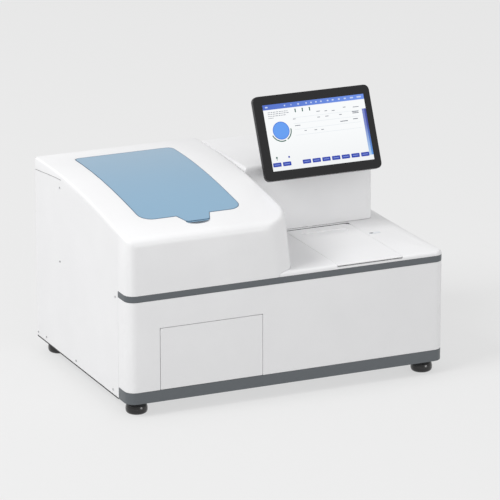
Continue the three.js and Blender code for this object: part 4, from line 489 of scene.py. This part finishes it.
# Dark blue-grey rubber for the lid's edge bead, which paints the shadow of the lid's gap.
lid_gap_shadow_blue = moulded("lid_gap_shadow_rubber", paint(66, 94, 118), 0.6, grain=0.5, relief=0.02)
softened("lid_panel", "lid", lid_blue, 0.7)
bead_radius = 0.75
bead_drop = 0.6
rim_low = spot(0, 0, 335).z
bm = bmesh.new()
bm.from_mesh(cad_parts["lid_panel"].data)
bmesh.ops.remove_doubles(bm, verts=bm.verts, dist=weld_reach)
bm.normal_update()
rim_edges = []
for edge in bm.edges:
    tops = [face for face in edge.link_faces if face.normal.z > 0.5]
    walls = [face for face in edge.link_faces if abs(face.normal.z) < 0.3]
    if len(tops) == 1 and walls and edge.verts[0].co.z > rim_low:
        rim_edges.append(edge)
meeting = {}
for edge in rim_edges:
    for vert in edge.verts:
        meeting.setdefault(vert, []).append(edge)
start = max(meeting, key=lambda vert: vert.co.y - vert.co.x)
vert, last = start, None
line = []
while vert is not start or not line:
    line.append(vert.co - Vector((0, 0, bead_drop / 1000)))
    last = next(edge for edge in meeting[vert] if edge is not last)
    vert = last.other_vert(vert)
bm.free()
finished("lid_edge_shadow_bead", bead(line, bead_radius, True), "lid", "lid", lid_gap_shadow_blue, crease=60)


# Lid hinges: two gooseneck arms pressed from plated steel turn on pins in brackets under the hood's rear
# land. Two screws hold each arm's foot to the lid, and a spring clip holds each pin.
arm_screw_in, arm_screw_down = 7, 3.35
arm_screw_reach = (7, 19)
clip_profile = [(3.1, 0), (5.2, 0), (5.4, 0.3), (5.4, 0.7), (5.2, 1), (3.1, 1), (3.1, 0)]
clip_out = 8.2
pin_y, pin_z = 458, 366.6
for side, x in (("left", 100), ("right", 247)):
    softened("lid_arm_" + side, "lid", zinc, 0.4)
    softened("hinge_bracket_" + side, "casing", zinc, 0.3)
    low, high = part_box("lid_arm_" + side)
    bm = bmesh.new()
    for reach in arm_screw_reach:
        seat = Vector((low.x + arm_screw_in / 1000, low.y + reach / 1000, high.z - arm_screw_down / 1000))
        gather(bm, screw(2.8, 1.8), Matrix.Translation(seat) @ Matrix.Rotation(math.pi, 4, "X"))
    finished("lid_arm_screws_" + side, bm, "lid", "zinc", bright_zinc, recess_floor_shade)
    clip = turned(clip_profile, 20)
    clip.transform(Matrix.Translation(spot(x - clip_out, pin_y, pin_z)) @ to_left)
    finished("hinge_clip_" + side, clip, "casing", "zinc", bright_zinc)


# Rear housing: a white box that covers the fluidics behind the deck, with rounded front corner and top
# edges, and a hole in its top for the screen's cable. It butts against the hood's right wall.
softened("rear_housing", "casing", white, 0.3)


# Deck and hatch: the deck is a white cover whose right shoulder grows rounder to the back. The hatch lies
# flush in it, with a shallow pill-shaped grip, and dark foam closes the gap behind it and at its rear
# corners. The foam is painted shadow: it draws the shaded gap there as a dark line.
softened("deck_cover", "casing", white, 0.5)
softened("hatch_cover", "hatch", white, 0.5)
side_shadow_foam_wide = 0.5
side_shadow_foam_back, side_shadow_foam_low, side_shadow_foam_high = 253.6, 229.3, 231.6
# Strips of dark foam in the hatch's rear gap and rear corners, as painted shadow of the gap.
bm = strip(spot(452, 253.35, 223), spot(595, 253.95, 231.7))
for x, y in ((451.25, 206), (595.25, 228)):
    low = spot(x, y, side_shadow_foam_low)
    high = spot(x + side_shadow_foam_wide, side_shadow_foam_back, side_shadow_foam_high)
    gather(bm, strip(low, high, 0.1))
finished("hatch_gap_shadow_foam", bm, "casing", "band", shadow_foam)


# Standby button: a pill-shaped key of pale grey moulding in the deck, with a small smoked lens at its left
# end over the lamp that shows the state. It dips when it is pressed.
key_grey = moulded("pale_grey_key", paint(222, 225, 229), 0.35)
smoked = moulded("smoked_lens", paint(58, 60, 70), 0.12, relief=0.002, coat=0.6)
softened("standby_button", "standby", key_grey, 0.4)
low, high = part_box("standby_button")
lens_left = 7.5
lens_place = Vector(((low.x + high.x) / 2 - lens_left / 1000, (low.y + high.y) / 2, high.z))
lens_disc = turned([(0, -0.2), (3.1, -0.2), (3.1, 0.1), (2.8, 0.3), (1.5, 0.45), (0, 0.5)], 28)
lens_disc.transform(Matrix.Translation(lens_place) @ Matrix.Diagonal((1.35, 0.8, 1, 1)))
finished("standby_lens", lens_disc, "standby", "screen_glass", smoked)


# Loading well: a grey vacuum-formed tub under the hatch, with a lane for each sample rack. A light gate at
# the end of each lane looks through a small dark window in the rear wall.
liner = moulded("liner_grey", paint(214, 217, 221), 0.5, grain=0.7, relief=0.04)
softened("loading_well", "casing", liner, 0.5)
lanes = 5
lane_pitch = (587.5 - 459.5) / lanes
gate_start, gate_y, gate_z = 459, 234.1, 140
bm = bmesh.new()
for lane in range(lanes):
    gate = turned([(0, 0), (3, 0), (3, 0.8), (2.6, 1.1), (0, 1.1)], 24)
    gate_at = spot(gate_start + lane_pitch * (lane + 0.55), gate_y, gate_z)
    gather(bm, gate, Matrix.Translation(gate_at) @ Matrix.Rotation(math.radians(90), 4, "X"))
finished("lane_light_gates", bm, "casing", "screen_glass", smoked)


# Chassis: a bridge folded from plated sheet over the drawer, with the runners' fixed channels riveted
# inside. Hexagon bolts hold its feet to the base tray.
softened("chassis_frame", "casing", zinc, 0.3)
bm = bmesh.new()
head_middle = 4.75
for x in (59, 298):
    for y in (40, 235, 430):
        gather(bm, hexagon(4.4, 2.8, 0.3), Matrix.Translation(spot(x, y, head_middle)))
        gather(bm, turned([(0, 3.3), (5, 3.3), (5, 3.7), (0, 3.7)], 20), Matrix.Translation(spot(x, y, 0)))
finished("chassis_bolts", bm, "casing", "zinc", bright_zinc)


# Bay liner: the white tub under the lid that keeps spills and stray light out, formed in one piece on four
# posts. It has a satin skin that wipes clean.
softened("bay_liner", "casing", liner, 0.5)


# Reagent carousel: a moulded wheel on the motor's shaft with six bays, and a lobed knob that locks it down.
# Each bay holds a wedge-shaped pack of natural polyethylene under a ribbed cap with a rubber septum.
dark = moulded("black_abs", paint(44, 44, 46), 0.42, grain=0.5, relief=0.03)
natural = moulded("natural_polyethylene", paint(232, 229, 218), 0.38, grain=1.2, relief=0.02)
cap_blue = moulded("blue_cap", paint(62, 108, 168), 0.35, grain=0.4, relief=0.02)
cap_white = moulded("white_cap", paint(232, 233, 233), 0.35, grain=0.4, relief=0.02)
softened("carousel_motor", "casing", dark, 0.4)
softened("carousel_rotor", "carousel", liner, 0.4)
softened("carousel_knob", "carousel", grey, 0.8)
wheel_x, wheel_y = 173.5, 186
packs = 6
mouth_radius, small_radius = 70, 50
pack_top = 275.7
cap_low = -0.4
cap_ribs = 20
cap_kinds = (("cap", 9.5, mouth_radius, 6.1, cap_blue), ("vent", 7.2, small_radius, 3.4, cap_white))


def ribbed_cap(radius, height, ribs):
    """A screw cap with ribs for the fingers, its foot at the origin, in millimetres."""
    bm = turned([(radius, 0), (radius, height * 0.9), (radius * 0.94, height), (radius * 0.5, height),
        (radius * 0.46, height * 0.84), (0, height * 0.84)], ribs * 2)
    walls = [vert for vert in bm.verts if vert.co.xy.length > radius * 0.00099]
    for vert in walls:
        turn = math.atan2(vert.co.y, vert.co.x) / (2 * math.pi) * ribs * 2
        if round(turn) % 2:
            vert.co.xy *= 0.955
    for face in bm.faces:
        centre = face.calc_center_median()
        face.material_index = 1 if centre.xy.length < radius * 0.00045 else 0
    bm.normal_update()
    return bm


for pack in range(packs):
    node = "reagent_pack_" + str(pack + 1)
    softened(node, "carousel", natural, 0.8)
    way = 2 * math.pi * pack / packs + math.pi / 2
    for kind, size, reach, cap_high, skin in cap_kinds:
        cap = ribbed_cap(size, cap_high - cap_low, cap_ribs)
        x = wheel_x + reach * math.cos(way)
        y = wheel_y + reach * math.sin(way)
        cap.transform(Matrix.Translation(spot(x, y, pack_top + cap_low)))
        finished(node + "_" + kind, cap, "carousel", "pack", skin, rubber, crease=40)


# Pipetting probe: a ground steel shaft slides in a sleeve that turns on a machined base. The arm has a
# white cover, and the steel needle hangs from its end.
def machined(name, colour, gloss, stretch):
    """Machined metal: fine tool marks stretched along one axis, over a faint change of tone."""
    skin = bpy.data.materials.new(name)
    nodes, links = nodes_of(skin)
    out = nodes.new("ShaderNodeOutputMaterial")
    shader = nodes.new("ShaderNodeBsdfPrincipled")
    shader.inputs["Metallic"].default_value = 1
    place = nodes.new("ShaderNodeTexCoord")
    aim = nodes.new("ShaderNodeMapping")
    aim.inputs["Scale"].default_value = stretch
    marks = nodes.new("ShaderNodeTexNoise")
    marks.inputs["Scale"].default_value = 2400
    marks.inputs["Detail"].default_value = 4
    tone = nodes.new("ShaderNodeValToRGB")
    tone.color_ramp.elements[0].position = 0.25
    tone.color_ramp.elements[1].position = 0.75
    tone.color_ramp.elements[0].color = [part * 0.88 for part in colour[:3]] + [1]
    tone.color_ramp.elements[1].color = colour
    rub = nodes.new("ShaderNodeMapRange")
    rub.inputs["To Min"].default_value = gloss * 0.7
    rub.inputs["To Max"].default_value = gloss * 1.3
    bump = nodes.new("ShaderNodeBump")
    bump.inputs["Strength"].default_value = 0.35
    bump.inputs["Distance"].default_value = 0.000006
    links.new(place.outputs["Object"], aim.inputs["Vector"])
    links.new(aim.outputs["Vector"], marks.inputs["Vector"])
    links.new(marks.outputs["Fac"], tone.inputs["Fac"])
    links.new(marks.outputs["Fac"], rub.inputs["Value"])
    links.new(marks.outputs["Fac"], bump.inputs["Height"])
    links.new(tone.outputs["Color"], shader.inputs["Base Color"])
    links.new(rub.outputs["Result"], shader.inputs["Roughness"])
    links.new(bump.outputs["Normal"], shader.inputs["Normal"])
    links.new(shader.outputs[0], out.inputs[0])
    return skin


satin_alloy = machined("satin_alloy", paint(196, 199, 203), 0.36, (0.04, 1, 1))
ground_steel = machined("ground_steel", paint(208, 210, 213), 0.2, (0.05, 0.05, 1))
softened("column_base", "casing", satin_alloy, 0.4)
softened("column_sleeve", "probe_turret", ground_steel, 0.4)
softened("probe_shaft", "probe_head", ground_steel, 0.3)
softened("probe_arm_cover", "probe_head", white, 1)
softened("probe_needle", "probe_head", ground_steel, 0.1)
column_x, column_y, flange_top = 173.5, 374, 216.8
flange_reach = 21.4
bm = bmesh.new()
for turn in range(4):
    way = math.radians(45 + 90 * turn)
    x = column_x + flange_reach * math.cos(way)
    y = column_y + flange_reach * math.sin(way)
    gather(bm, screw(2.6, 2), Matrix.Translation(spot(x, y, flange_top)))
finished("column_base_screws", bm, "casing", "zinc", bright_zinc, recess_floor_shade)


# Stations round the probe: a cup of grey polymer that washes the needle, a finned heating block of machined
# alloy that keeps the cuvettes warm, and the photon counter in its light-tight black housing.
softened("wash_station", "casing", liner, 0.4)
softened("incubator_block", "casing", satin_alloy, 0.4)
softened("photon_counter", "casing", dark, 0.6)
counter_top = 278.1
bm = bmesh.new()
for x, y in ((206.5, 305), (262.8, 305), (206.5, 418.5), (262.8, 418.5)):
    gather(bm, screw(2.4, 1.6), Matrix.Translation(spot(x, y, counter_top)))
finished("photon_counter_screws", bm, "casing", "zinc", bright_zinc, recess_floor_shade)


# Waste drawer: a white front on a welded tray of plated sheet, with a grey bin inside that lifts out. The
# runners' inner bars ride in the chassis, and two screws a side hold the front.
softened("drawer_front", "drawer", white, 0.6)
softened("drawer_tray", "drawer", zinc, 0.3)
softened("waste_bin", "drawer", grey, 0.8)


# Rear panel: powder-coated sheet with air slots and a punched fan grille, whose arcs are drawn out round.
# Screws hold it along its edge, and the fan's own four stand round the grille.
rear_piece = softened("rear_panel", "casing", powder, 0)
fan_x, fan_z, fan_half = 600, 138, 35.75
hub = spot(fan_x, 0, fan_z).xz
grille_radius = 0.036
same_reach = 0.00005
arc_cuts = 4
rear_face = 475.48
bm = bmesh.new()
bm.from_mesh(rear_piece.data)
arcs = {}
for edge in bm.edges:
    reach = [(vert.co.xz - hub).length for vert in edge.verts]
    on_circle = abs(reach[0] - reach[1]) < same_reach and reach[0] < grille_radius
    walls = [face for face in edge.link_faces if abs(face.normal.y) < 0.5]
    if on_circle and len(walls) == 1:
        arcs.setdefault(round(reach[0], 4), []).append(edge)
for radius, edges in arcs.items():
    cut = bmesh.ops.subdivide_edges(bm, edges=edges, cuts=arc_cuts, use_grid_fill=True)["geom_inner"]
    for vert in (part for part in cut if isinstance(part, bmesh.types.BMVert)):
        vert.co.x, vert.co.z = hub + (vert.co.xz - hub).normalized() * radius
bm.normal_update()
for edge in bm.edges:
    edge.smooth = edge.calc_face_angle(math.pi) < crease_angle
bm.to_mesh(rear_piece.data)
bm.free()
to_rear = Matrix.Rotation(math.radians(-90), 4, "X")
edge_screws = ((12, 9), (230, 9), (460, 9), (678, 9), (12, 190), (678, 214), (20, 365), (180, 369),
    (330, 365), (400, 365), (520, 369), (640, 365), (400, 214), (520, 214))
fan_screws = [(fan_x + side * fan_half, fan_z + level * fan_half) for side in (-1, 1) for level in (-1, 1)]
bm = bmesh.new()
for x, z in edge_screws:
    gather(bm, screw(2.6, 1.5), Matrix.Translation(spot(x, rear_face, z)) @ to_rear)
for x, z in fan_screws:
    gather(bm, screw(3.2, 1.9), Matrix.Translation(spot(x, rear_face, z)) @ to_rear)
finished("rear_panel_screws", bm, "casing", "zinc", bright_zinc, recess_floor_shade)


# Mains inlet: a flanged socket of black polymer with three nickel blades, and a rocker switch beside it.
# The rocker carries a plain bar and a ring for on and off.
softened("power_inlet", "casing", dark, 0.3)
softened("power_rocker", "rocker", gloss_black, 0.3)
nickel = machined("nickel", paint(206, 203, 192), 0.25, (1, 0.06, 1))
bm = bmesh.new()
for x, z in ((614, 49.5), (628, 49.5), (621, 54.5)):
    gather(bm, strip(spot(x - 1, 458.8, z - 2), spot(x + 1, 473.4, z + 2), 0.6))
finished("inlet_blades", bm, "casing", "machined", nickel)
mark_white = moulded("mark_white", paint(232, 232, 232), 0.5)
slope = math.atan2(2.2, 9.2)
rocker_pivot_y, mark_out = 471.8, 5.8
mark_x, mark_y = 645, rocker_pivot_y + mark_out
bar_z, ring_z = 57.1, 46.9
bar_size = (0.8, 4.2)
ring_inner, ring_outer = 1.4, 2.1
bm = bmesh.new()
bmesh.ops.create_grid(bm, x_segments=1, y_segments=1, size=0.5)
bmesh.ops.scale(bm, vec=(bar_size[0] / 1000, bar_size[1] / 1000, 1), verts=bm.verts)
bm.transform(Matrix.Translation(spot(mark_x, mark_y, bar_z))
    @ Matrix.Rotation(math.radians(-90) - slope, 4, "X"))
ring = bmesh.new()
edge = [ring.verts.new((ring_inner / 1000, 0, 0)), ring.verts.new((ring_outer / 1000, 0, 0))]
bmesh.ops.spin(ring, geom=edge + [ring.edges.new(edge)], cent=(0, 0, 0), axis=(0, 0, 1), angle=2 * math.pi,
    steps=28, use_merge=True)
bmesh.ops.recalc_face_normals(ring, faces=ring.faces)
gather(bm, ring, Matrix.Translation(spot(mark_x, mark_y, ring_z))
    @ Matrix.Rotation(math.radians(-90) + slope, 4, "X"))
bmesh.ops.recalc_face_normals(bm, faces=bm.faces)
if sum(face.normal.y for face in bm.faces) < 0:
    bmesh.ops.reverse_faces(bm, faces=bm.faces)
finished("rocker_marks", bm, "rocker", "dark_moulding", mark_white)


# Cooling fan: an 80 mm frame and a seven-bladed rotor in black glass-filled polymer, behind the grille.
softened("fan_frame", "casing", dark, 0.3)
softened("fan_rotor", "fan", dark, 0.3)


# Interface block: a plated shell in the rear panel with a network socket and two serial sockets. Gold
# contacts stand in black inserts, and two hexagonal posts flank each serial socket.
softened("interface_block", "casing", zinc, 0.2)
gold = machined("gold_plate", paint(222, 184, 98), 0.25, (1, 0.1, 1))
serial_places = (458, 482.7)
insert_front, insert_half = 460.7, 6.4
post_places = (449.2, 466.8, 473.9, 491.5)
inserts = strip(spot(427, insert_front, 127), spot(439.6, 462.5, 139))
for x in serial_places:
    low = spot(x - insert_half, insert_front, 130)
    gather(inserts, strip(low, spot(x + insert_half, 470.5, 136), 0.3))
finished("socket_inserts", inserts, "casing", "dark_moulding", dark)
bm = bmesh.new()
lead_pitch, lead_half = 1.12, 0.22
pin_pitch = 2.2
for lead in range(8):
    x = 429.4 + lead * lead_pitch
    gather(bm, strip(spot(x - lead_half, 462.4, 135.2), spot(x + lead_half, 473.2, 135.8), 0.08))
for centre in serial_places:
    for row, count in ((0, 5), (1, 4)):
        for pin in range(count):
            x = centre + (pin - (count - 1) / 2) * pin_pitch
            pin_form = turned([(0, 0), (0.5, 0), (0.5, 2.6), (0.2, 3), (0, 3)], 10)
            gather(bm, pin_form, Matrix.Translation(spot(x, 470.3, 134.2 - row * 2.4)) @ to_rear)
finished("socket_contacts", bm, "casing", "machined", gold)
bm = bmesh.new()
for x in post_places:
    gather(bm, hexagon(1.5, 1.6, 0.2), Matrix.Translation(spot(x, 477, 133)) @ to_rear)
finished("socket_posts", bm, "casing", "zinc", bright_zinc)


# Main board: green glass-epoxy laminate on spacers, with black chips and a finned heat sink on its front,
# and fine copper tracks under the lacquer. What stands proud of the laminate is dark.
def printed_board(name, front):
    """Green laminate with fine tracks. What stands in front of its face is dark."""
    skin = bpy.data.materials.new(name)
    nodes, links = nodes_of(skin)
    out = nodes.new("ShaderNodeOutputMaterial")
    shader = nodes.new("ShaderNodeBsdfPrincipled")
    shader.inputs["Roughness"].default_value = 0.35
    place = nodes.new("ShaderNodeTexCoord")
    tracks = nodes.new("ShaderNodeTexBrick")
    tracks.inputs["Scale"].default_value = 260
    tracks.inputs["Mortar Size"].default_value = 0.012
    tracks.inputs["Color1"].default_value = paint(26, 96, 54)
    tracks.inputs["Color2"].default_value = paint(30, 108, 60)
    tracks.inputs["Mortar"].default_value = paint(84, 140, 84)
    turn = nodes.new("ShaderNodeMapping")
    turn.inputs["Rotation"].default_value = (math.radians(90), 0, 0)
    parts = nodes.new("ShaderNodeSeparateXYZ")
    proud = nodes.new("ShaderNodeMath")
    proud.operation = "LESS_THAN"
    proud.inputs[1].default_value = front
    tone = nodes.new("ShaderNodeMix")
    tone.data_type = "RGBA"
    tone.inputs["B"].default_value = paint(40, 40, 42)
    links.new(place.outputs["Object"], turn.inputs["Vector"])
    links.new(turn.outputs["Vector"], tracks.inputs["Vector"])
    links.new(place.outputs["Object"], parts.inputs["Vector"])
    links.new(parts.outputs["Y"], proud.inputs[0])
    links.new(proud.outputs[0], tone.inputs["Factor"])
    links.new(tracks.outputs["Color"], tone.inputs["A"])
    links.new(tone.outputs["Result"], shader.inputs["Base Color"])
    links.new(shader.outputs[0], out.inputs[0])
    return skin


board_face = 462.9
can_foot = 463.05
laminate = printed_board("board_laminate", spot(0, board_face, 0).y)
dress(laminate, "main_board")
sleeve_blue = moulded("capacitor_sleeve", paint(34, 52, 96), 0.3, relief=0.004)
can_top = machined("capacitor_can", paint(200, 202, 205), 0.3, (1, 1, 1))
bm = bmesh.new()
for x, z in ((455, 62), (466, 62), (477, 62), (540, 95)):
    can = turned([(0, 0), (4, 0), (4, 11), (3.8, 11.6), (3.2, 11.9), (0, 11.7)], 24)
    for face in can.faces:
        face.material_index = 1 if face.calc_center_median().z > 0.0112 else 0
    gather(bm, can, Matrix.Translation(spot(x, can_foot, z)) @ Matrix.Rotation(math.radians(90), 4, "X"))
finished("board_capacitors", bm, "casing", "board", sleeve_blue, can_top)


# Power supply and dosing pump: the supply stands in a slotted case of plated sheet on the base. The pump
# hangs on the chassis beside the drawer, with a steel barrel in two clamps and a plunger below.
softened("power_supply", "casing", zinc, 0.4)
softened("syringe_pump", "casing", dark, 0.5)
softened("syringe_barrel", "casing", ground_steel, 0.2)
softened("syringe_plunger", "syringe_drive", ground_steel, 0.2)


# Screen stand: a white fork on the rear housing and a plated knuckle between its ears, held by friction.
# Four screws fix the knuckle's plate to the screen's back.
softened("screen_stand", "casing", white, 0.8)
softened("screen_knuckle", "screen", zinc, 0.5)
screen_lean = math.radians(-24)
screen_at = Matrix.Translation(spot(519, 276.5, 419.2)) @ Matrix.Rotation(screen_lean, 4, "X")


def screen_screws(name, reach_x, reach_z, seat, radius, height):
    """Four screws in the screen's back, at the corners of an oblong about its middle."""
    bm = bmesh.new()
    for x in (-reach_x, reach_x):
        for z in (-reach_z, reach_z):
            place = Matrix.Translation((x / 1000, seat / 1000, z / 1000))
            gather(bm, screw(radius, height), screen_at @ place @ to_rear)
    finished(name, bm, "screen", "zinc", bright_zinc, recess_floor_shade)


screen_screws("knuckle_screws", 32, 23, -10, 3, 1.9)


# Screen: a slim black shell closed by a sheet of cover glass with a black printed border. The back has a
# row of vents and four screws near its corners.
border_black = moulded("cover_glass", paint(20, 20, 22), 0.08, relief=0.001, drift=0.05)
softened("screen_back_shell", "screen", dark, 1)
softened("screen_glass", "screen", border_black, 0.7, segments=3)
dress(satin_alloy, "display_panel")
screen_screws("shell_screws", 98, 55, -14.1, 2.2, 1.2)


# What the screen shows: a working page of plain shapes, lit from within, on the 226 x 136 mm active area. A
# blue bar runs along the top, a round gauge stands at the left, and two groups of keys lie along the foot.
page_wide, page_high = 226, 136
page_right, page_up = 2.2, 0.2
page_foot = spot(0, 0, 380).z
page_head = spot(0, 0, 440).z
foot_share = 0.94
glass_face = -40


def lit(name, colour, other=None, axis="Z", low=page_foot, high=page_head):
    """A lit area behind the glass. It fades towards the foot, or shades to another colour along an axis."""
    skin = bpy.data.materials.new(name)
    nodes, links = nodes_of(skin)
    out = nodes.new("ShaderNodeOutputMaterial")
    shader = nodes.new("ShaderNodeBsdfPrincipled")
    shader.inputs["Base Color"].default_value = (0.004, 0.004, 0.005, 1)
    shader.inputs["Roughness"].default_value = 0.09
    shader.inputs["Emission Strength"].default_value = 0.96
    place = nodes.new("ShaderNodeTexCoord")
    parts = nodes.new("ShaderNodeSeparateXYZ")
    ramp = nodes.new("ShaderNodeMapRange")
    ramp.inputs["From Min"].default_value = low
    ramp.inputs["From Max"].default_value = high
    tone = nodes.new("ShaderNodeValToRGB")
    faded = [part * foot_share for part in colour[:3]] + [1]
    tone.color_ramp.elements[0].color = colour if other else faded
    tone.color_ramp.elements[1].color = other or colour
    links.new(place.outputs["Object"], parts.inputs["Vector"])
    links.new(parts.outputs[axis], ramp.inputs["Value"])
    links.new(ramp.outputs["Result"], tone.inputs["Fac"])
    links.new(tone.outputs["Color"], shader.inputs["Emission Color"])
    links.new(shader.outputs[0], out.inputs[0])
    return skin


def page(u, v, lift):
    """A place on the page, in millimetres from its left and from its top, lifted off the glass."""
    place = Vector((page_right + u - page_wide / 2, glass_face - lift, page_up + page_high / 2 - v)) / 1000
    return screen_at @ Matrix.Translation(place) @ Matrix.Rotation(math.radians(90), 4, "X")


def panel(bm, u, v, wide, high, lift, corner=0, ink=0):
    """A flat panel of the page by its left top corner."""
    part = bmesh.new()
    bmesh.ops.create_grid(part, x_segments=1, y_segments=1, size=0.5)
    bmesh.ops.scale(part, vec=(wide / 1000, high / 1000, 1), verts=part.verts)
    if corner:
        bmesh.ops.bevel(part, geom=part.verts, offset=corner / 1000, offset_type="OFFSET", affect="VERTICES",
            segments=3, profile=0.5, material=-1)
    for face in part.faces:
        face.material_index = ink
    gather(bm, part, page(u + wide / 2, v + high / 2, lift))


def disc(bm, u, v, radius, lift, ink=0):
    """A flat disc of the page by its middle."""
    part = bmesh.new()
    bmesh.ops.create_circle(part, cap_ends=True, segments=48, radius=radius / 1000)
    for face in part.faces:
        face.material_index = ink
    gather(bm, part, page(u, v, lift))


def band(bm, u, v, inner, outer, start, sweep, lift, ink=0):
    """Part of a ring of the page, from an angle in degrees and over another."""
    part = bmesh.new()
    ends = [part.verts.new((inner / 1000, 0, 0)), part.verts.new((outer / 1000, 0, 0))]
    bmesh.ops.spin(part, geom=ends + [part.edges.new(ends)], cent=(0, 0, 0), axis=(0, 0, 1),
        angle=math.radians(sweep), steps=32, use_merge=abs(sweep) == 360)
    bmesh.ops.recalc_face_normals(part, faces=part.faces)
    if sum(face.normal.z for face in part.faces) < 0:
        bmesh.ops.reverse_faces(part, faces=part.faces)
    bmesh.ops.rotate(part, matrix=Matrix.Rotation(math.radians(start), 3, "Z"), verts=part.verts)
    for face in part.faces:
        face.material_index = ink
    gather(bm, part, page(u, v, lift))


page_white = lit("page_white", paint(250, 252, 253))
bar_start, bar_end = spot(408, 0, 0).x, spot(630, 0, 0).x
bar_blue = lit("bar_blue", paint(76, 108, 200), paint(108, 146, 234), "X", bar_start, bar_end)
pale_ink = lit("pale_ink", paint(198, 212, 245))
grey_ink = lit("grey_ink", paint(112, 118, 130))
line_ink = lit("line_ink", paint(218, 226, 232))
gauge_blue = lit("gauge_blue", paint(72, 130, 230), paint(98, 158, 243))
gauge_ring = lit("gauge_ring", paint(50, 108, 214))
green_ink = lit("green_ink", paint(44, 98, 84))
key_blue = lit("key_blue", paint(38, 64, 176))
key_line = lit("key_line", paint(128, 150, 222))
scroll_blue = lit("scroll_blue", paint(96, 158, 232), paint(62, 74, 164))
scroll_pale = lit("scroll_pale", paint(176, 212, 246), paint(120, 134, 200))

bar_high = 10.5
on_page, on_ink = 0.06, 0.09
bm = bmesh.new()
panel(bm, 0, 0, page_wide, page_high, 0.02)
panel(bm, 0, 0, page_wide, bar_high, 0.05, ink=1)
for u, wide in ((5, 6), (47, 3), (62, 2), (77, 4), (95, 3.6), (106, 3.6), (117, 3.6), (128, 3.6),
        (143, 4), (154, 4.4), (168, 4.4), (181, 5), (195, 7), (210, 10)):
    panel(bm, u, 3.6, wide, 3, 0.08, corner=1, ink=2)
finished("screen_page", bm, "screen", "screen_glass", page_white, bar_blue, pale_ink)

gauge_u, gauge_v = 32, 55
gauge_radius = 18.4
ring_wide = 1.3
dial_inner, dial_outer = 20.8, 23
bm = bmesh.new()
disc(bm, gauge_u, gauge_v, gauge_radius, on_page)
band(bm, gauge_u, gauge_v, gauge_radius - ring_wide, gauge_radius, 0, 360, on_ink, ink=1)
for start, sweep in ((202, 88), (300, 66)):
    band(bm, gauge_u, gauge_v, dial_inner, dial_outer, start, sweep, on_page, ink=2)
for u in (70, 86, 102):
    panel(bm, u - 1.2, 14.8, 2.4, 6.6, on_page, corner=0.8, ink=2)
    panel(bm, u - 1.8, 14, 3.6, 1.2, on_page, corner=0.3, ink=2)
disc(bm, 12.5, 109, 2, on_page, ink=2)
panel(bm, 11.8, 111.5, 1.4, 2.8, on_page, ink=2)
disc(bm, 39.5, 110, 2, on_page, ink=3)
finished("screen_gauge", bm, "screen", "screen_glass", gauge_blue, gauge_ring, green_ink, key_blue)

key_wide, key_high, key_pitch = 18.4, 8.4, 21.8
key_top, word_top = 119.2, 122.5
rail_top, rail_high = 30, 96
bm = bmesh.new()
for u in [1.8 + key_pitch * key for key in range(2)] + [67.6 + key_pitch * key for key in range(7)]:
    panel(bm, u, key_top, key_wide, key_high, on_page, corner=1.4)
    panel(bm, u + key_wide / 6, word_top, key_wide * 2 / 3, 1.6, on_ink, corner=0.5, ink=1)
panel(bm, page_wide - 9, rail_top, 5.2, rail_high, on_page, ink=2)
panel(bm, page_wide - 3.8, rail_top, 3.8, rail_high, on_page, ink=3)
finished("screen_keys", bm, "screen", "screen_glass", key_blue, key_line, scroll_pale, scroll_blue)

bm = bmesh.new()
for row, (v, stop) in enumerate(((15.6, 53), (19.4, 55), (23.4, 49), (27.4, 20))):
    u = 9
    while u < stop:
        wide = 2.2 + (u * 7 + row * 3) % 4
        panel(bm, u, v, min(wide, stop - u), 1.1, on_page)
        u += wide + 1.4
for u, v, wide in ((116, 24, 8), (134, 25, 6), (150, 26, 7), (176, 22, 6), (165, 36, 6), (62, 34, 6),
        (64, 48, 12), (116, 36, 6), (134, 36, 7), (83, 60, 5), (105, 61, 6), (120, 62, 6), (198, 24, 13)):
    panel(bm, u, v, wide, 1.3, on_page)
for u, v, wide in ((194, 33, 15), (195, 36, 14), (165, 50, 17), (194, 48, 11)):
    panel(bm, u, v, wide, 1.6, on_page)
for v in (32, 44, 56, 68):
    panel(bm, 62, v, 148, 0.5, 0.05, ink=1)
finished("screen_lines", bm, "screen", "screen_glass", grey_ink, line_ink)
